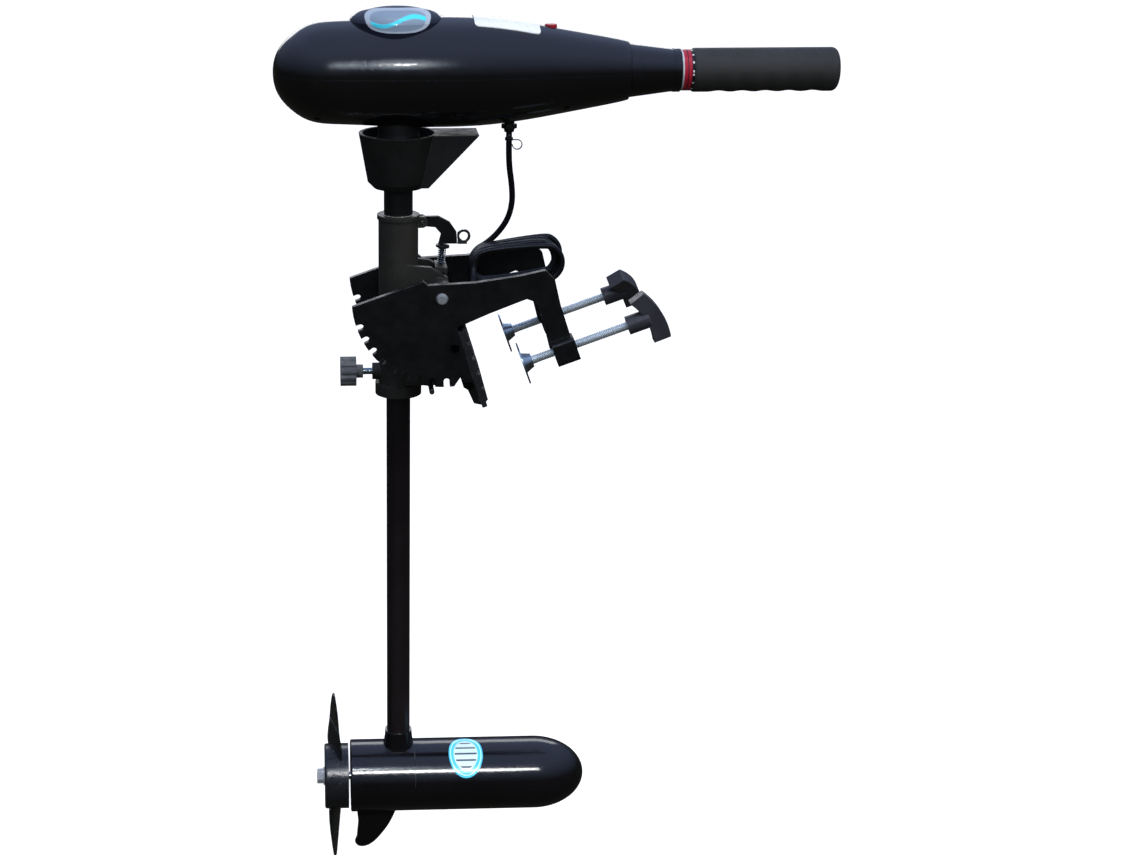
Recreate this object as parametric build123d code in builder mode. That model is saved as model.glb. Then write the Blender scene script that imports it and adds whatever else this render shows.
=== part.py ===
from build123d import *
import os
from math import cos, radians, sin, sqrt

# An electric outboard (trolling motor) that hangs on a boat's transom by a two-screw clamp bracket.
#
# Frame: the origin is the middle of the bracket's serrated face, which bears on the outside of the
# transom. +X points into the boat, the way the tiller points, and +Z is up. The near side is -Y. The
# steering shaft is vertical. Everything but the clamp screws' travel, the release lever, the cable and
# its gland is symmetric about the XZ plane.
#
# The bracket is placed by the transom face and the tilt pivot. The motor hangs below the neck by the
# shaft's length, so a longer shaft only lowers the motor. Along the boat, the shaft's own pieces are
# placed by their distance ahead of the shaft's axis.

os.makedirs("parts", exist_ok=True)

# ---------------------------------------------------------------- driving sizes, mm

shaft_length = 762.0        # underside of the neck to the motor's axis: a 30 inch shaft
shaft_diameter = 28.6       # outside of the composite tube
shaft_wall = 2.2
running_gap = 0.06          # on the radius, between a shaft and what it turns or slides in
seat_gap = 0.05             # round a piece that is pressed or screwed into another
skin_gap = 0.35             # between faces of different bodies that pass each other

axis_x = -88.0              # the shaft's axis, behind the transom face
neck_z = 195.0              # underside of the neck, with the motor at its deepest
head_above_neck = 132.0     # the head's long axis, above the underside of the neck
motor_z = neck_z - shaft_length
head_z = neck_z + head_above_neck
shaft_radius = shaft_diameter / 2

cable_diameter = 7.0
sides = (-1, 1)             # near and far


def ahead(distance, z):
    """A point of the middle plane, from its distance ahead of the shaft's axis."""
    return (axis_x + distance, z)


def level(z):
    """A level plane centred on the shaft's axis, facing up."""
    return Plane(origin=(axis_x, 0, z))


def across(distance, z):
    """A plane across the boat's length that faces the tiller, so far ahead of the shaft's axis."""
    return Plane(origin=(axis_x + distance, 0, z), x_dir=(0, 1, 0), z_dir=(1, 0, 0))


def upright(y):
    """The XZ plane moved to y and facing the near side: its own x and y are the frame's X and Z."""
    return Plane.XZ.offset(-y)


def long_axis(z):
    """The line along the boat at that height, which the head or the motor is turned about."""
    return Axis((0, 0, z), (1, 0, 0))


def save(piece, name):
    piece.label = name
    export_step(piece, f"parts/{name}.step")


def bush(plane, outer, inner, height):
    """A plain bush, washer or tube that stands on a plane."""
    with BuildPart() as piece:
        with BuildSketch(plane):
            Circle(outer)
            Circle(inner, mode=Mode.SUBTRACT)
        extrude(amount=height)
    return piece.part


def bar(plane, radius, length):
    """A plain round bar that stands on a plane."""
    with BuildPart() as piece:
        with BuildSketch(plane):
            Circle(radius)
        extrude(amount=length)
    return piece.part


# ---------------------------------------------------------------- bracket: sizes and places

bracket_width = 138.0       # over the two side plates
plate_thickness = 8.0
plate_outer = bracket_width / 2
plate_inner = plate_outer - plate_thickness

pivot_x = -41.0             # the tilt pivot
pivot_z = 79.0
pivot_bolt_diameter = 10.0
bolt_head_diameter = 14.0
sector_radius = 106.0       # over the tips of the tilt teeth
notch_depth = 11.0
notch_pitch = 9.3           # degrees from notch to notch
notches_up = 7              # notches above the one in use
notches_down = 1
lock_pin_diameter = 6.0
lock_pin_gap = 0.5          # all round the pin in its notch
lock_pin_behind = 10.0      # the pin's axis, behind the pivot's axis
lock_pin_travel = 12.5      # of the slots it slides in
latch_travel = 12.0         # from its notch to clear of the teeth

jaw_lean = 17.5             # the transom face, from vertical, in degrees
jaw_top = 44.0              # up the transom face from the origin
jaw_bottom = 52.0           # and down it
pad_thickness = 9.0
ridge_pitch = 19.0
ridge_height = 3.0
web_thickness = 6.0
shelf_thickness = 4.0

screw_rise = 20.0           # the clamp screws, from horizontal, in degrees
screw_foot = (60.0, 4.0)    # a point of their axis in the middle plane, just inside the transom
screw_y = plate_outer
screw_diameter = 10.0
boss_start = 30.0           # along the screw from its foot
boss_length = 27.0
boss_width = 26.0
boss_height = 28.0
insert_diameter = 15.0
screw_relief = 20.0         # how far past its boss the plate is cut back round the screw
screw_relief_gap = 1.0
clamp_pad_diameter = 50.0
clamp_pad_thickness = 2.0
clamp_pad_start = -12.0     # along the screw, with neither screw wound in or out
near_wound_out = 4.0
far_wound_in = 5.0
handle_start = 116.0
handle_hub_diameter = 22.0
handle_hub_length = 26.0
handle_cant = 10.0          # the handle's bar, from square to its screw, in degrees
handle_width = 17.0
handle_turn = (0.0, 40.0)    # how far each handle stands turned round its screw, in degrees

pin_ring = sector_radius - notch_depth + lock_pin_diameter / 2 + lock_pin_gap
latch_lean_sin = lock_pin_behind / pin_ring
latch_lean_cos = sqrt(1 - latch_lean_sin**2)

jaw = Plane(
    origin=(0, 0, 0),
    x_dir=(cos(radians(jaw_lean)), 0, sin(radians(jaw_lean))),
    z_dir=(0, -1, 0),
)


def on_jaw(out, up):
    """A point of the middle plane, from its distance out of the transom face and up it."""
    place = jaw.from_local_coords((out, up))
    return (place.X, place.Z)


def on_screw(side, along):
    """A plane across a clamp screw that faces its handle, so far along it from its foot."""
    rise = radians(screw_rise)
    origin = (screw_foot[0] + along * cos(rise), side * screw_y, screw_foot[1] + along * sin(rise))
    return Plane(origin=origin, x_dir=(0, 1, 0), z_dir=(cos(rise), 0, sin(rise)))


def on_latch(along):
    """A plane across the latch rod that faces up it, so far above the pivot's axis."""
    origin = (pivot_x + along * latch_lean_sin, 0, pivot_z + along * latch_lean_cos)
    return Plane(origin=origin, x_dir=(0, 1, 0), z_dir=(latch_lean_sin, 0, latch_lean_cos))


def notch_plane(y, step):
    """An upright plane at the pivot, turned so that straight down it lies the notch of that step."""
    direction = Vector(latch_lean_cos, 0, -latch_lean_sin).rotate(Axis.Y, step * notch_pitch)
    return Plane(origin=(pivot_x, y, pivot_z), x_dir=direction, z_dir=(0, -1, 0))


tie_bolt_diameter = 6.0
tie_head_diameter = 11.0
tie_head_height = 3.5
tie_places = [on_jaw(-pad_thickness - 9, 28), on_jaw(-pad_thickness - 7, -20)]

# ---------------------------------------------------------------- bracket: pieces


def side_plate(side):
    """A cast side plate: tilt sector behind, transom arm in front, a screw boss at the arm's end."""
    y = -plate_inner if side < 0 else plate_outer
    back_top = on_jaw(-pad_thickness, jaw_top + 6)
    back_low = on_jaw(-pad_thickness, -jaw_bottom + 4)
    heel = (-26.0, -25.5)
    horn = (-144.0, 70.5)
    with BuildPart() as plate:
        with BuildSketch(upright(y)):
            with BuildLine():
                Polyline(
                    horn, (-62.5, 99.5), (-57, 95), (-4, 97.5), (48, 105), (77, 111.5), (88, 100),
                    (95, 71), (104, 44), (112, 20), (88, 12), (84, 18), (74, 56), (71.5, 66),
                    (65.5, 74.5), (56, 78), (47, 74.5), (14, 61.5), back_top, back_low,
                    (back_low[0] - 9, back_low[1] + 2), (-18, -13), heel,
                )
                RadiusArc(heel, horn, sector_radius)
            make_face()
        extrude(amount=plate_thickness)
        for step in range(-notches_down, notches_up + 1):
            with BuildSketch(notch_plane(y, step)):
                with Locations((0, -pin_ring)):
                    Circle(lock_pin_diameter / 2 + lock_pin_gap)
                with Locations((0, -pin_ring - notch_depth)):
                    Rectangle(lock_pin_diameter + 2 * lock_pin_gap, 2 * notch_depth)
            extrude(amount=plate_thickness, mode=Mode.SUBTRACT)
        with BuildSketch(on_screw(side, boss_start)):
            with Locations((0, -2)):
                RectangleRounded(boss_width, boss_height, 4)
        extrude(amount=boss_length)
        with BuildSketch(on_screw(side, boss_start)):
            Circle(insert_diameter / 2)
        extrude(amount=boss_length, mode=Mode.SUBTRACT)
        with BuildSketch(on_screw(side, boss_start - screw_relief)):
            Circle(screw_diameter / 2 + screw_relief_gap)
        extrude(amount=boss_length + 2 * screw_relief, mode=Mode.SUBTRACT)
        with BuildSketch(upright(y)):
            with Locations((pivot_x, pivot_z)):
                Circle(pivot_bolt_diameter / 2 + running_gap)
            with Locations(*tie_places):
                Circle(tie_bolt_diameter / 2 + seat_gap)
        extrude(amount=plate_thickness, mode=Mode.SUBTRACT)
    return plate.part


near_plate = side_plate(-1)
far_plate = side_plate(1)
save(near_plate, "side_plate_near")
save(far_plate, "side_plate_far")

# The cross web ties the plates together. Its shelf closes the bracket over the transom's top edge and
# has a slot through which the release lever swings when the motor is tilted.
with BuildPart() as cross_web:
    with BuildSketch(upright(plate_inner)):
        with BuildLine():
            Polyline(
                on_jaw(-pad_thickness, jaw_top + 6),
                on_jaw(-pad_thickness, -jaw_bottom + 4),
                on_jaw(-pad_thickness - web_thickness, -jaw_bottom + 4),
                on_jaw(-pad_thickness - web_thickness, -32),
                on_jaw(-pad_thickness - 14, -24),
                on_jaw(-pad_thickness - 14, 8),
                on_jaw(-pad_thickness - 18, 12),
                on_jaw(-pad_thickness - 18, jaw_top + 6),
                (-16, 57.5),
                (25, 65.5 + shelf_thickness),
                (25, 65.5),
                close=True,
            )
        make_face()
    extrude(amount=2 * plate_inner)
    with BuildSketch(Plane.XY):
        with Locations((16, 0)):
            SlotOverall(40, 20)
    extrude(amount=120, mode=Mode.SUBTRACT)
    with BuildSketch(upright(plate_inner)):
        with Locations(*tie_places):
            Circle(tie_bolt_diameter / 2 + seat_gap)
    extrude(amount=2 * plate_inner, mode=Mode.SUBTRACT)
save(cross_web.part, "cross_web")

# The serrated pad lies on the front edges of both plates and of the web, and bears on the transom.
with BuildPart() as transom_pad:
    with BuildSketch(jaw.offset(-plate_outer)):
        with BuildLine():
            Polyline(
                (-ridge_height, jaw_top), (-pad_thickness, jaw_top),
                (-pad_thickness, -jaw_bottom), (-ridge_height, -jaw_bottom),
                close=True,
            )
        make_face()
        for ridge in range(-2, 3):
            with Locations((-ridge_height / 2, ridge * ridge_pitch)):
                Trapezoid(ridge_pitch - 3, ridge_height, 60, rotation=-90)
    extrude(amount=bracket_width)
save(transom_pad.part, "transom_pad")

# Tie bolts run right through the plates and the web, with a head outside each plate.
with BuildPart() as tie_bolts:
    with BuildSketch(upright(plate_outer)):
        with Locations(*tie_places):
            Circle(tie_bolt_diameter / 2)
    extrude(amount=bracket_width)
    for y in (plate_outer + tie_head_height, -plate_outer):
        with BuildSketch(upright(y)):
            with Locations(*tie_places):
                RegularPolygon(tie_head_diameter / 2, 6)
        extrude(amount=tie_head_height)
save(tie_bolts.part, "tie_bolts")

# Each pivot bolt passes through its plate into a boss of the swivel housing and is what it tilts on.
pivot_bolt_reach = 22.0
with BuildPart() as pivot_bolts:
    for side in sides:
        with BuildSketch(upright(side * plate_outer)):
            with Locations((pivot_x, pivot_z)):
                Circle(pivot_bolt_diameter / 2)
        extrude(amount=side * (plate_thickness + pivot_bolt_reach))
        with BuildSketch(upright(side * plate_outer)):
            with Locations((pivot_x, pivot_z)):
                Circle(bolt_head_diameter / 2)
        extrude(amount=-side * 4, taper=25)
save(pivot_bolts.part, "pivot_bolts")

# Brass inserts in the screw bosses carry the clamp screws' thread.
with BuildPart() as clamp_nuts:
    for side in sides:
        with BuildSketch(on_screw(side, boss_start)):
            Circle(insert_diameter / 2 - seat_gap)
            Circle(screw_diameter / 2 + running_gap, mode=Mode.SUBTRACT)
        extrude(amount=boss_length)
save(clamp_nuts.part, "clamp_nuts")

# ---------------------------------------------------------------- clamp screws

pad_boss_radius = 12.0
pad_boss_height = 10.0
socket_depth = 8.0


def clamp(side, wound, turn, name):
    """A clamp: a swivelling steel pad, its screw, and the handle moulded on the screw's end."""
    start = clamp_pad_start + wound
    with BuildPart() as pad:
        with BuildSketch(on_screw(side, start)):
            Circle(clamp_pad_diameter / 2)
        extrude(amount=clamp_pad_thickness)
        with BuildSketch(on_screw(side, start + clamp_pad_thickness)):
            Circle(pad_boss_radius)
        extrude(amount=pad_boss_height, taper=22)
        with BuildSketch(on_screw(side, start + clamp_pad_thickness + pad_boss_height)):
            Circle(screw_diameter / 2 + running_gap)
        extrude(amount=-socket_depth, mode=Mode.SUBTRACT)
    save(pad.part, f"clamp_pad_{name}")

    foot = start + clamp_pad_thickness + pad_boss_height - socket_depth + skin_gap
    tip = handle_start + wound + handle_hub_length
    save(bar(on_screw(side, foot), screw_diameter / 2, tip - foot), f"clamp_screw_{name}")

    lean = radians(screw_rise + handle_cant)
    hub_end = on_screw(side, tip)
    screw_axis = Axis(hub_end.origin, hub_end.z_dir)
    wing_side = Vector(0, -1, 0).rotate(screw_axis, turn)
    wing = Plane(
        origin=hub_end.origin - wing_side * handle_width / 2,
        x_dir=Vector(cos(lean), 0, sin(lean)).rotate(screw_axis, turn),
        z_dir=wing_side,
    )
    with BuildPart() as handle:
        with BuildSketch(on_screw(side, handle_start + wound)):
            Circle(handle_hub_diameter / 2)
        extrude(amount=handle_hub_length)
        with BuildSketch(wing):
            with BuildLine():
                ThreePointArc((12, -30), (16, 0), (8, 31))
                Line((8, 31), (-11, 28))
                ThreePointArc((-11, 28), (-4, 0), (-8, -27))
                Line((-8, -27), (12, -30))
            make_face()
        extrude(amount=handle_width)
        with BuildSketch(on_screw(side, handle_start + wound)):
            Circle(screw_diameter / 2 + seat_gap)
        extrude(amount=handle_hub_length + seat_gap, mode=Mode.SUBTRACT)
    save(handle.part, f"clamp_handle_{name}")


clamp(-1, near_wound_out, handle_turn[0], "near")
clamp(1, -far_wound_in, handle_turn[1], "far")

# ---------------------------------------------------------------- swivel housing and its pieces

tube_radius = 23.2
tube_top = 163.0            # the housing's upper rim
tube_bottom = -54.0
foot_ring_radius = 27.5
foot_ring_height = 14.0
rim_height = 5.0
liner_wall = 3.6
liner_radius = shaft_radius + running_gap + liner_wall
liner_length = 40.0
cheek_inner = 16.0          # the housing's two cheeks, from the middle plane
cheek_thickness = 6.0
cheek_outer = cheek_inner + cheek_thickness
pivot_boss_radius = 13.0
tension_z = -27.0
tension_boss_radius = 10.0
tension_boss_end = -31.0
shoe_radius = 6.0
shoe_back = -19.5
shoe_travel = 2.0
tension_screw_diameter = 8.0
knob_start = -42.0
knob_hub_radius = 8.0
knob_hub_length = 8.0
knob_radius = 17.5
knob_length = 19.0
lever_hub_radius = 6.0
lever_pivot = (27.5, 153.0)   # ahead of the shaft's axis, and its height
lever_pin_diameter = 4.0
lever_inner = 3.2           # the lever, from the middle plane, on the far side of the latch rod
lever_thickness = 5.0
ear_thickness = 5.0
rod_diameter = 5.0
guide_start = 18.0          # the rod's guide, above the pivot's axis along the rod
guide_height = 6.0
spring_length = 20.0
collar_height = 2.5
collar_radius = 8.0
spring_start = guide_start + guide_height + 0.2
collar_start = spring_start + spring_length + 0.2
rod_top = collar_start + collar_height

pin_at = on_latch(-pin_ring).origin
pin_rest = pin_ring + latch_travel    # the pin is modelled drawn out of its notch, with the lever down

with BuildPart() as swivel_housing:
    with BuildSketch(level(tube_bottom)):
        Circle(tube_radius)
    extrude(amount=tube_top - tube_bottom)
    with BuildSketch(level(tube_bottom)):
        Circle(foot_ring_radius)
    extrude(amount=foot_ring_height)
    with BuildSketch(level(tube_top - rim_height)):
        Circle(tube_radius + 1.6)
    extrude(amount=rim_height)
    # cheeks from the tube to the pivot bosses, and lower down to the lock pin's slots
    for y in (-cheek_inner, cheek_outer):
        with BuildSketch(upright(y)):
            with BuildLine():
                Polyline(
                    (axis_x, 108), (pivot_x - 10, 104), (pivot_x + 9, 92), (pivot_x + 12, 74),
                    (pivot_x, 64), (pin_at.X + 8, 10), (pin_at.X + 8, pin_at.Z - 20),
                    (axis_x, pin_at.Z - 20),
                    close=True,
                )
            make_face()
        extrude(amount=cheek_thickness)
    for side in sides:
        with BuildSketch(upright(side * cheek_inner)):
            with Locations((pivot_x, pivot_z)):
                Circle(pivot_boss_radius)
        extrude(amount=-side * (plate_inner - skin_gap - cheek_inner))
    # the latch rod's guide, between the cheeks
    with BuildSketch(on_latch(guide_start)):
        Rectangle(2 * cheek_inner + 1, 14)
    extrude(amount=guide_height)
    # ears for the release lever
    for y in (lever_inner - skin_gap, lever_inner + lever_thickness + skin_gap + ear_thickness):
        with BuildSketch(upright(y)):
            with Locations(ahead(*lever_pivot)):
                Circle(6.5)
            with Locations(ahead(lever_pivot[0] - 8, lever_pivot[1])):
                Rectangle(16, 13)
        extrude(amount=ear_thickness)
    # the tension screw's boss
    with BuildSketch(across(tension_boss_end, tension_z)):
        Circle(tension_boss_radius)
    extrude(amount=-tension_boss_end)
    # bores
    with BuildSketch(level(tube_bottom)):
        Circle(liner_radius + seat_gap)
    extrude(amount=tube_top - tube_bottom, mode=Mode.SUBTRACT)
    with BuildSketch(across(shoe_back - shoe_travel - skin_gap, tension_z)):
        Circle(shoe_radius + running_gap)
    extrude(amount=shoe_travel + skin_gap - shoe_back, mode=Mode.SUBTRACT)
    with BuildSketch(across(tension_boss_end, tension_z)):
        Circle(tension_screw_diameter / 2 + running_gap)
    extrude(amount=-tension_boss_end, mode=Mode.SUBTRACT)
    with BuildSketch(on_latch(guide_start)):
        Circle(rod_diameter / 2 + running_gap)
    extrude(amount=guide_height, mode=Mode.SUBTRACT)
    for side in sides:
        with BuildSketch(upright(side * (plate_inner - skin_gap))):
            with Locations((pivot_x, pivot_z)):
                Circle(pivot_bolt_diameter / 2 + running_gap)
        extrude(amount=side * (pivot_bolt_reach + 2), mode=Mode.SUBTRACT)
    with BuildSketch(upright(cheek_outer)):
        with Locations(ahead(*lever_pivot)):
            Circle(lever_pin_diameter / 2 + seat_gap)
    extrude(amount=2 * cheek_outer, mode=Mode.SUBTRACT)
    with BuildSketch(notch_plane(cheek_outer, 0)):
        with Locations((0, -pin_ring - lock_pin_travel / 2)):
            SlotOverall(lock_pin_travel + lock_pin_diameter + 1, lock_pin_diameter + 0.6, rotation=90)
    extrude(amount=2 * cheek_outer, mode=Mode.SUBTRACT)
    with BuildSketch(upright(lever_inner + lever_thickness + skin_gap)):
        with Locations(ahead(*lever_pivot)):
            Circle(lever_hub_radius + skin_gap)
    extrude(amount=lever_thickness + 2 * skin_gap, mode=Mode.SUBTRACT)
save(swivel_housing.part, "swivel_housing")

liner_bore = shaft_radius + running_gap
save(bush(level(tube_top - liner_length), liner_radius, liner_bore, liner_length), "upper_liner")
save(bush(level(tube_bottom), liner_radius, liner_bore, tension_z - shoe_radius - 4 - tube_bottom),
     "lower_liner")

# The brake shoe is pressed on the shaft by the tension knob's screw.
with BuildPart() as tension_shoe:
    with BuildSketch(across(shoe_back + 0.1, tension_z)):
        Circle(shoe_radius)
    extrude(amount=-shoe_back)
    with BuildSketch(level(tension_z - 2 * shoe_radius)):
        Circle(shaft_radius + running_gap)
    extrude(amount=4 * shoe_radius, mode=Mode.SUBTRACT)
    split(bisect_by=across(0, tension_z), keep=Keep.BOTTOM)
save(tension_shoe.part, "tension_shoe")

screw_end = knob_start - knob_hub_length
save(bar(across(screw_end, tension_z), tension_screw_diameter / 2, shoe_back - screw_end),
     "tension_screw")
with BuildPart() as tension_knob:
    with BuildSketch(across(knob_start - knob_hub_length, tension_z)):
        Circle(knob_hub_radius)
        Circle(tension_screw_diameter / 2 + seat_gap, mode=Mode.SUBTRACT)
    extrude(amount=knob_hub_length)
    with BuildSketch(across(screw_end - knob_length, tension_z)):
        Circle(knob_radius)
        with PolarLocations(knob_radius + 1.2, 12):
            Circle(3, mode=Mode.SUBTRACT)
    extrude(amount=knob_length)
save(tension_knob.part, "tension_knob")

# ---------------------------------------------------------------- latch

# The latch rod runs down through the guide to an eye on the lock pin; a spring lifts its collar.
with BuildPart() as latch_rod:
    with BuildSketch(on_latch(-pin_rest)):
        Circle(rod_diameter / 2)
    extrude(amount=pin_rest + rod_top)
    with BuildSketch(on_latch(collar_start)):
        Circle(collar_radius)
    extrude(amount=collar_height)
    with BuildSketch(notch_plane(7, 0)):
        with Locations((0, -pin_rest)):
            Circle(lock_pin_diameter / 2 + 3)
    extrude(amount=14)
    with BuildSketch(notch_plane(7, 0)):
        with Locations((0, -pin_rest)):
            Circle(lock_pin_diameter / 2 + seat_gap)
    extrude(amount=14, mode=Mode.SUBTRACT)
save(latch_rod.part, "latch_rod")

with BuildPart() as lock_pin:
    with BuildSketch(notch_plane(plate_outer + 4, 0)):
        with Locations((0, -pin_rest)):
            Circle(lock_pin_diameter / 2)
    extrude(amount=2 * plate_outer + 8)
save(lock_pin.part, "lock_pin")

# The spring is a plain sleeve of the coil's outer size.
save(bush(on_latch(spring_start), rod_diameter / 2 + 2.4, rod_diameter / 2 + 0.5, spring_length),
     "latch_spring")

with BuildPart() as release_lever:
    with BuildSketch(upright(lever_inner + lever_thickness)):
        with BuildLine():
            Polyline(
                ahead(27.5, 159), ahead(47, 159), ahead(60, 152), ahead(68, 140), ahead(69, 126.2),
                ahead(47, 126.2), ahead(50, 138), ahead(43, 146), ahead(27.5, 147.5),
                close=True,
            )
        make_face()
        with Locations(ahead(*lever_pivot)):
            Circle(lever_hub_radius)
    extrude(amount=lever_thickness)
    with BuildSketch(upright(lever_inner + lever_thickness)):
        with Locations(ahead(*lever_pivot)):
            Circle(lever_pin_diameter / 2 + running_gap)
    extrude(amount=lever_thickness, mode=Mode.SUBTRACT)
save(release_lever.part, "release_lever")

with BuildPart() as lever_pin:
    with BuildSketch(upright(lever_inner + lever_thickness + skin_gap + ear_thickness + 1)):
        with Locations(ahead(*lever_pivot)):
            Circle(lever_pin_diameter / 2)
    extrude(amount=2 * ear_thickness + lever_thickness + 2 * skin_gap + 2)
save(lever_pin.part, "lever_pin")

ring_centre = ahead(76.5, 135)
with BuildPart() as pull_ring:
    with BuildSketch(upright(lever_inner + lever_thickness - 1)):
        with Locations(ring_centre):
            Circle(8)
        with Locations((ring_centre[0] - 1.5, ring_centre[1] - 7)):
            Rectangle(11, 5)
        with Locations(ring_centre):
            Circle(5, mode=Mode.SUBTRACT)
    extrude(amount=3)
    with BuildSketch(upright(plate_outer)):
        with Locations(ahead(58, 132)):
            Rectangle(22.1, 40)
    extrude(amount=bracket_width, mode=Mode.SUBTRACT)
save(pull_ring.part, "pull_ring")

# ---------------------------------------------------------------- shaft, bush and neck

bush_radius = 16.75         # the collar between the housing and the neck
neck_foot_radius = 35.5
neck_lip_radius = 45.5
neck_height = 63.0
neck_wall = 4.0
spigot_radius = 24.0
spigot_height = 98.0        # from the underside of the neck
wedge_reach = 91.0          # the neck's wedge, ahead of the shaft's axis
wedge_width = 50.0
shaft_above_neck = 104.0
neck_bolt_above = 90.0
neck_bolt_diameter = 6.0
head_collar_wall = 4.0      # of the head's inner collar round the neck's spigot
strut_socket_depth = 34.0   # from the motor's axis to the foot of the shaft

with BuildPart() as shaft_tube:
    with BuildSketch(level(motor_z + strut_socket_depth)):
        Circle(shaft_radius)
        Circle(shaft_radius - shaft_wall, mode=Mode.SUBTRACT)
    extrude(amount=shaft_length - strut_socket_depth + shaft_above_neck)
    with BuildSketch(upright(shaft_radius)):
        with Locations(ahead(0, neck_z + neck_bolt_above)):
            Circle(neck_bolt_diameter / 2 + seat_gap)
    extrude(amount=shaft_diameter, mode=Mode.SUBTRACT)
save(shaft_tube.part, "shaft_tube")

bush_foot = tube_top + skin_gap
save(bush(level(bush_foot), bush_radius, shaft_radius + running_gap, neck_z - skin_gap - bush_foot),
     "thrust_bush")

with BuildPart() as neck:
    with BuildSketch(Plane(origin=(axis_x, 0, 0), x_dir=(1, 0, 0), z_dir=(0, -1, 0))):
        with BuildLine():
            Polyline(
                (0, neck_z), (neck_foot_radius - 7, neck_z), (neck_foot_radius, neck_z + 7),
                (neck_lip_radius, neck_z + neck_height), (0, neck_z + neck_height),
                close=True,
            )
        make_face()
    revolve(axis=Axis((axis_x, 0, 0), (0, 0, 1)))
    with BuildSketch(upright(wedge_width / 2)):
        with BuildLine():
            Polyline(
                ahead(0, neck_z + 3), ahead(neck_foot_radius - 2, neck_z + 3),
                ahead(wedge_reach, neck_z + neck_height), ahead(0, neck_z + neck_height),
                close=True,
            )
        make_face()
    extrude(amount=wedge_width)
    with BuildSketch(level(neck_z + neck_height)):
        Circle(neck_lip_radius - neck_wall)
        Circle(spigot_radius, mode=Mode.SUBTRACT)
    extrude(amount=-neck_height + 12, taper=8, mode=Mode.SUBTRACT)
    with BuildSketch(level(neck_z + neck_height)):
        Circle(spigot_radius)
    extrude(amount=spigot_height - neck_height)
    with BuildSketch(level(neck_z)):
        Circle(shaft_radius + seat_gap)
    extrude(amount=spigot_height, mode=Mode.SUBTRACT)
    with BuildSketch(upright(spigot_radius)):
        with Locations(ahead(0, neck_z + neck_bolt_above)):
            Circle(neck_bolt_diameter / 2 + seat_gap)
    extrude(amount=2 * spigot_radius, mode=Mode.SUBTRACT)
save(neck.part, "neck")

bolt_reach = spigot_radius + seat_gap + head_collar_wall
with BuildPart() as neck_bolt:
    with BuildSketch(upright(bolt_reach)):
        with Locations(ahead(0, neck_z + neck_bolt_above)):
            Circle(neck_bolt_diameter / 2)
    extrude(amount=2 * bolt_reach)
    for y in (bolt_reach + 4, -bolt_reach):
        with BuildSketch(upright(y)):
            with Locations(ahead(0, neck_z + neck_bolt_above)):
                RegularPolygon(5.5, 6)
        extrude(amount=4)
save(neck_bolt.part, "neck_bolt")

# ---------------------------------------------------------------- head

head_rear = -142.0
head_wall = 3.0
shell_end = 274.0           # where the shells end and the tiller's nose collar begins
collar_end = 320.0
throttle_radius = 9.0       # the throttle's tube, inside the collar
parting_gap = 0.1
# the head's outline: distance ahead of the shaft's axis, and radius about the head's axis
head_outline = [
    (-124, 39.5), (-104, 52.8), (-66, 58.3), (0, 61.5), (60, 62), (100, 60.2), (140, 55.5),
    (200, 45.2), (256, 32.8), (322, 22.6),
]
cap_length = 106.0
cap_width = 88.0
cap_top = 76.0              # above the head's axis
cap_centre = -2.0           # ahead of the shaft's axis
gauge_start = 84.0
gauge_length = 74.0
gauge_width = 58.0
button_place = 172.0
button_diameter = 14.0
button_top = 53.0           # above the head's axis
gland_place = 127.0
gland_radius = 9.0
gland_foot = -69.0          # below the head's axis
gland_hole = 6.0
screw_places = [(-92, 30), (-92, -30), (58, 45), (58, -45), (188, 29), (188, -29)]
head_collar_bottom = 70.0   # below the head's axis
head_collar_height = 36.0
switch_place = 178.0
switch_length = 36.0
switch_side = 44.0
switch_nose = 12.0
switch_shaft_radius = 4.0
switch_shaft_start = switch_place + switch_length - 12
throttle_start = switch_place + switch_length + switch_nose + 4
case_screw_diameter = 4.0
case_screw_head = 7.5


def head_form(inset):
    """The head and its collar as one turned solid, drawn in by inset."""
    with BuildPart() as form:
        with BuildSketch(Plane(origin=(axis_x, 0, head_z), x_dir=(1, 0, 0), z_dir=(0, -1, 0))):
            with BuildLine():
                tip = (head_rear + inset, 0)
                stations = [(x, radius - inset) for x, radius in head_outline]
                Spline(tip, *stations, tangents=[(0, 1), (1, -0.13)])
                Line(stations[-1], (stations[-1][0], 0))
                Line((stations[-1][0], 0), tip)
            make_face()
        revolve(axis=long_axis(head_z))
    return form.part


head_outer = head_form(0)
head_inner = head_form(head_wall)
cap_seat = head_form(-parting_gap)

with BuildPart() as cap_form:
    with BuildSketch(Plane(origin=(axis_x + cap_centre, 0, head_z), x_dir=(1, 0, 0), z_dir=(0, -1, 0))):
        with BuildLine():
            Spline((0, cap_top), (cap_length * 0.3, cap_top - 3.6), (cap_length / 2, 58),
                   tangents=[(1, 0), (0.3, -1)])
            Polyline((cap_length / 2, 58), (cap_length / 2, 40), (0, 40), (0, cap_top))
        make_face()
    revolve(axis=Axis((axis_x + cap_centre, 0, 0), (0, 0, 1)))
    scale(by=(1, cap_width / cap_length, 1))


def case_columns(top, bottom):
    """The screw columns inside the head, trimmed to its skin."""
    with BuildPart() as columns:
        with BuildSketch(Plane.XY.offset(head_z + bottom)):
            with Locations(*[(axis_x + x, y) for x, y in screw_places]):
                Circle(case_screw_head / 2 + 2)
        extrude(amount=top - bottom)
        add(head_outer, mode=Mode.INTERSECT)
    return columns.part


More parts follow.
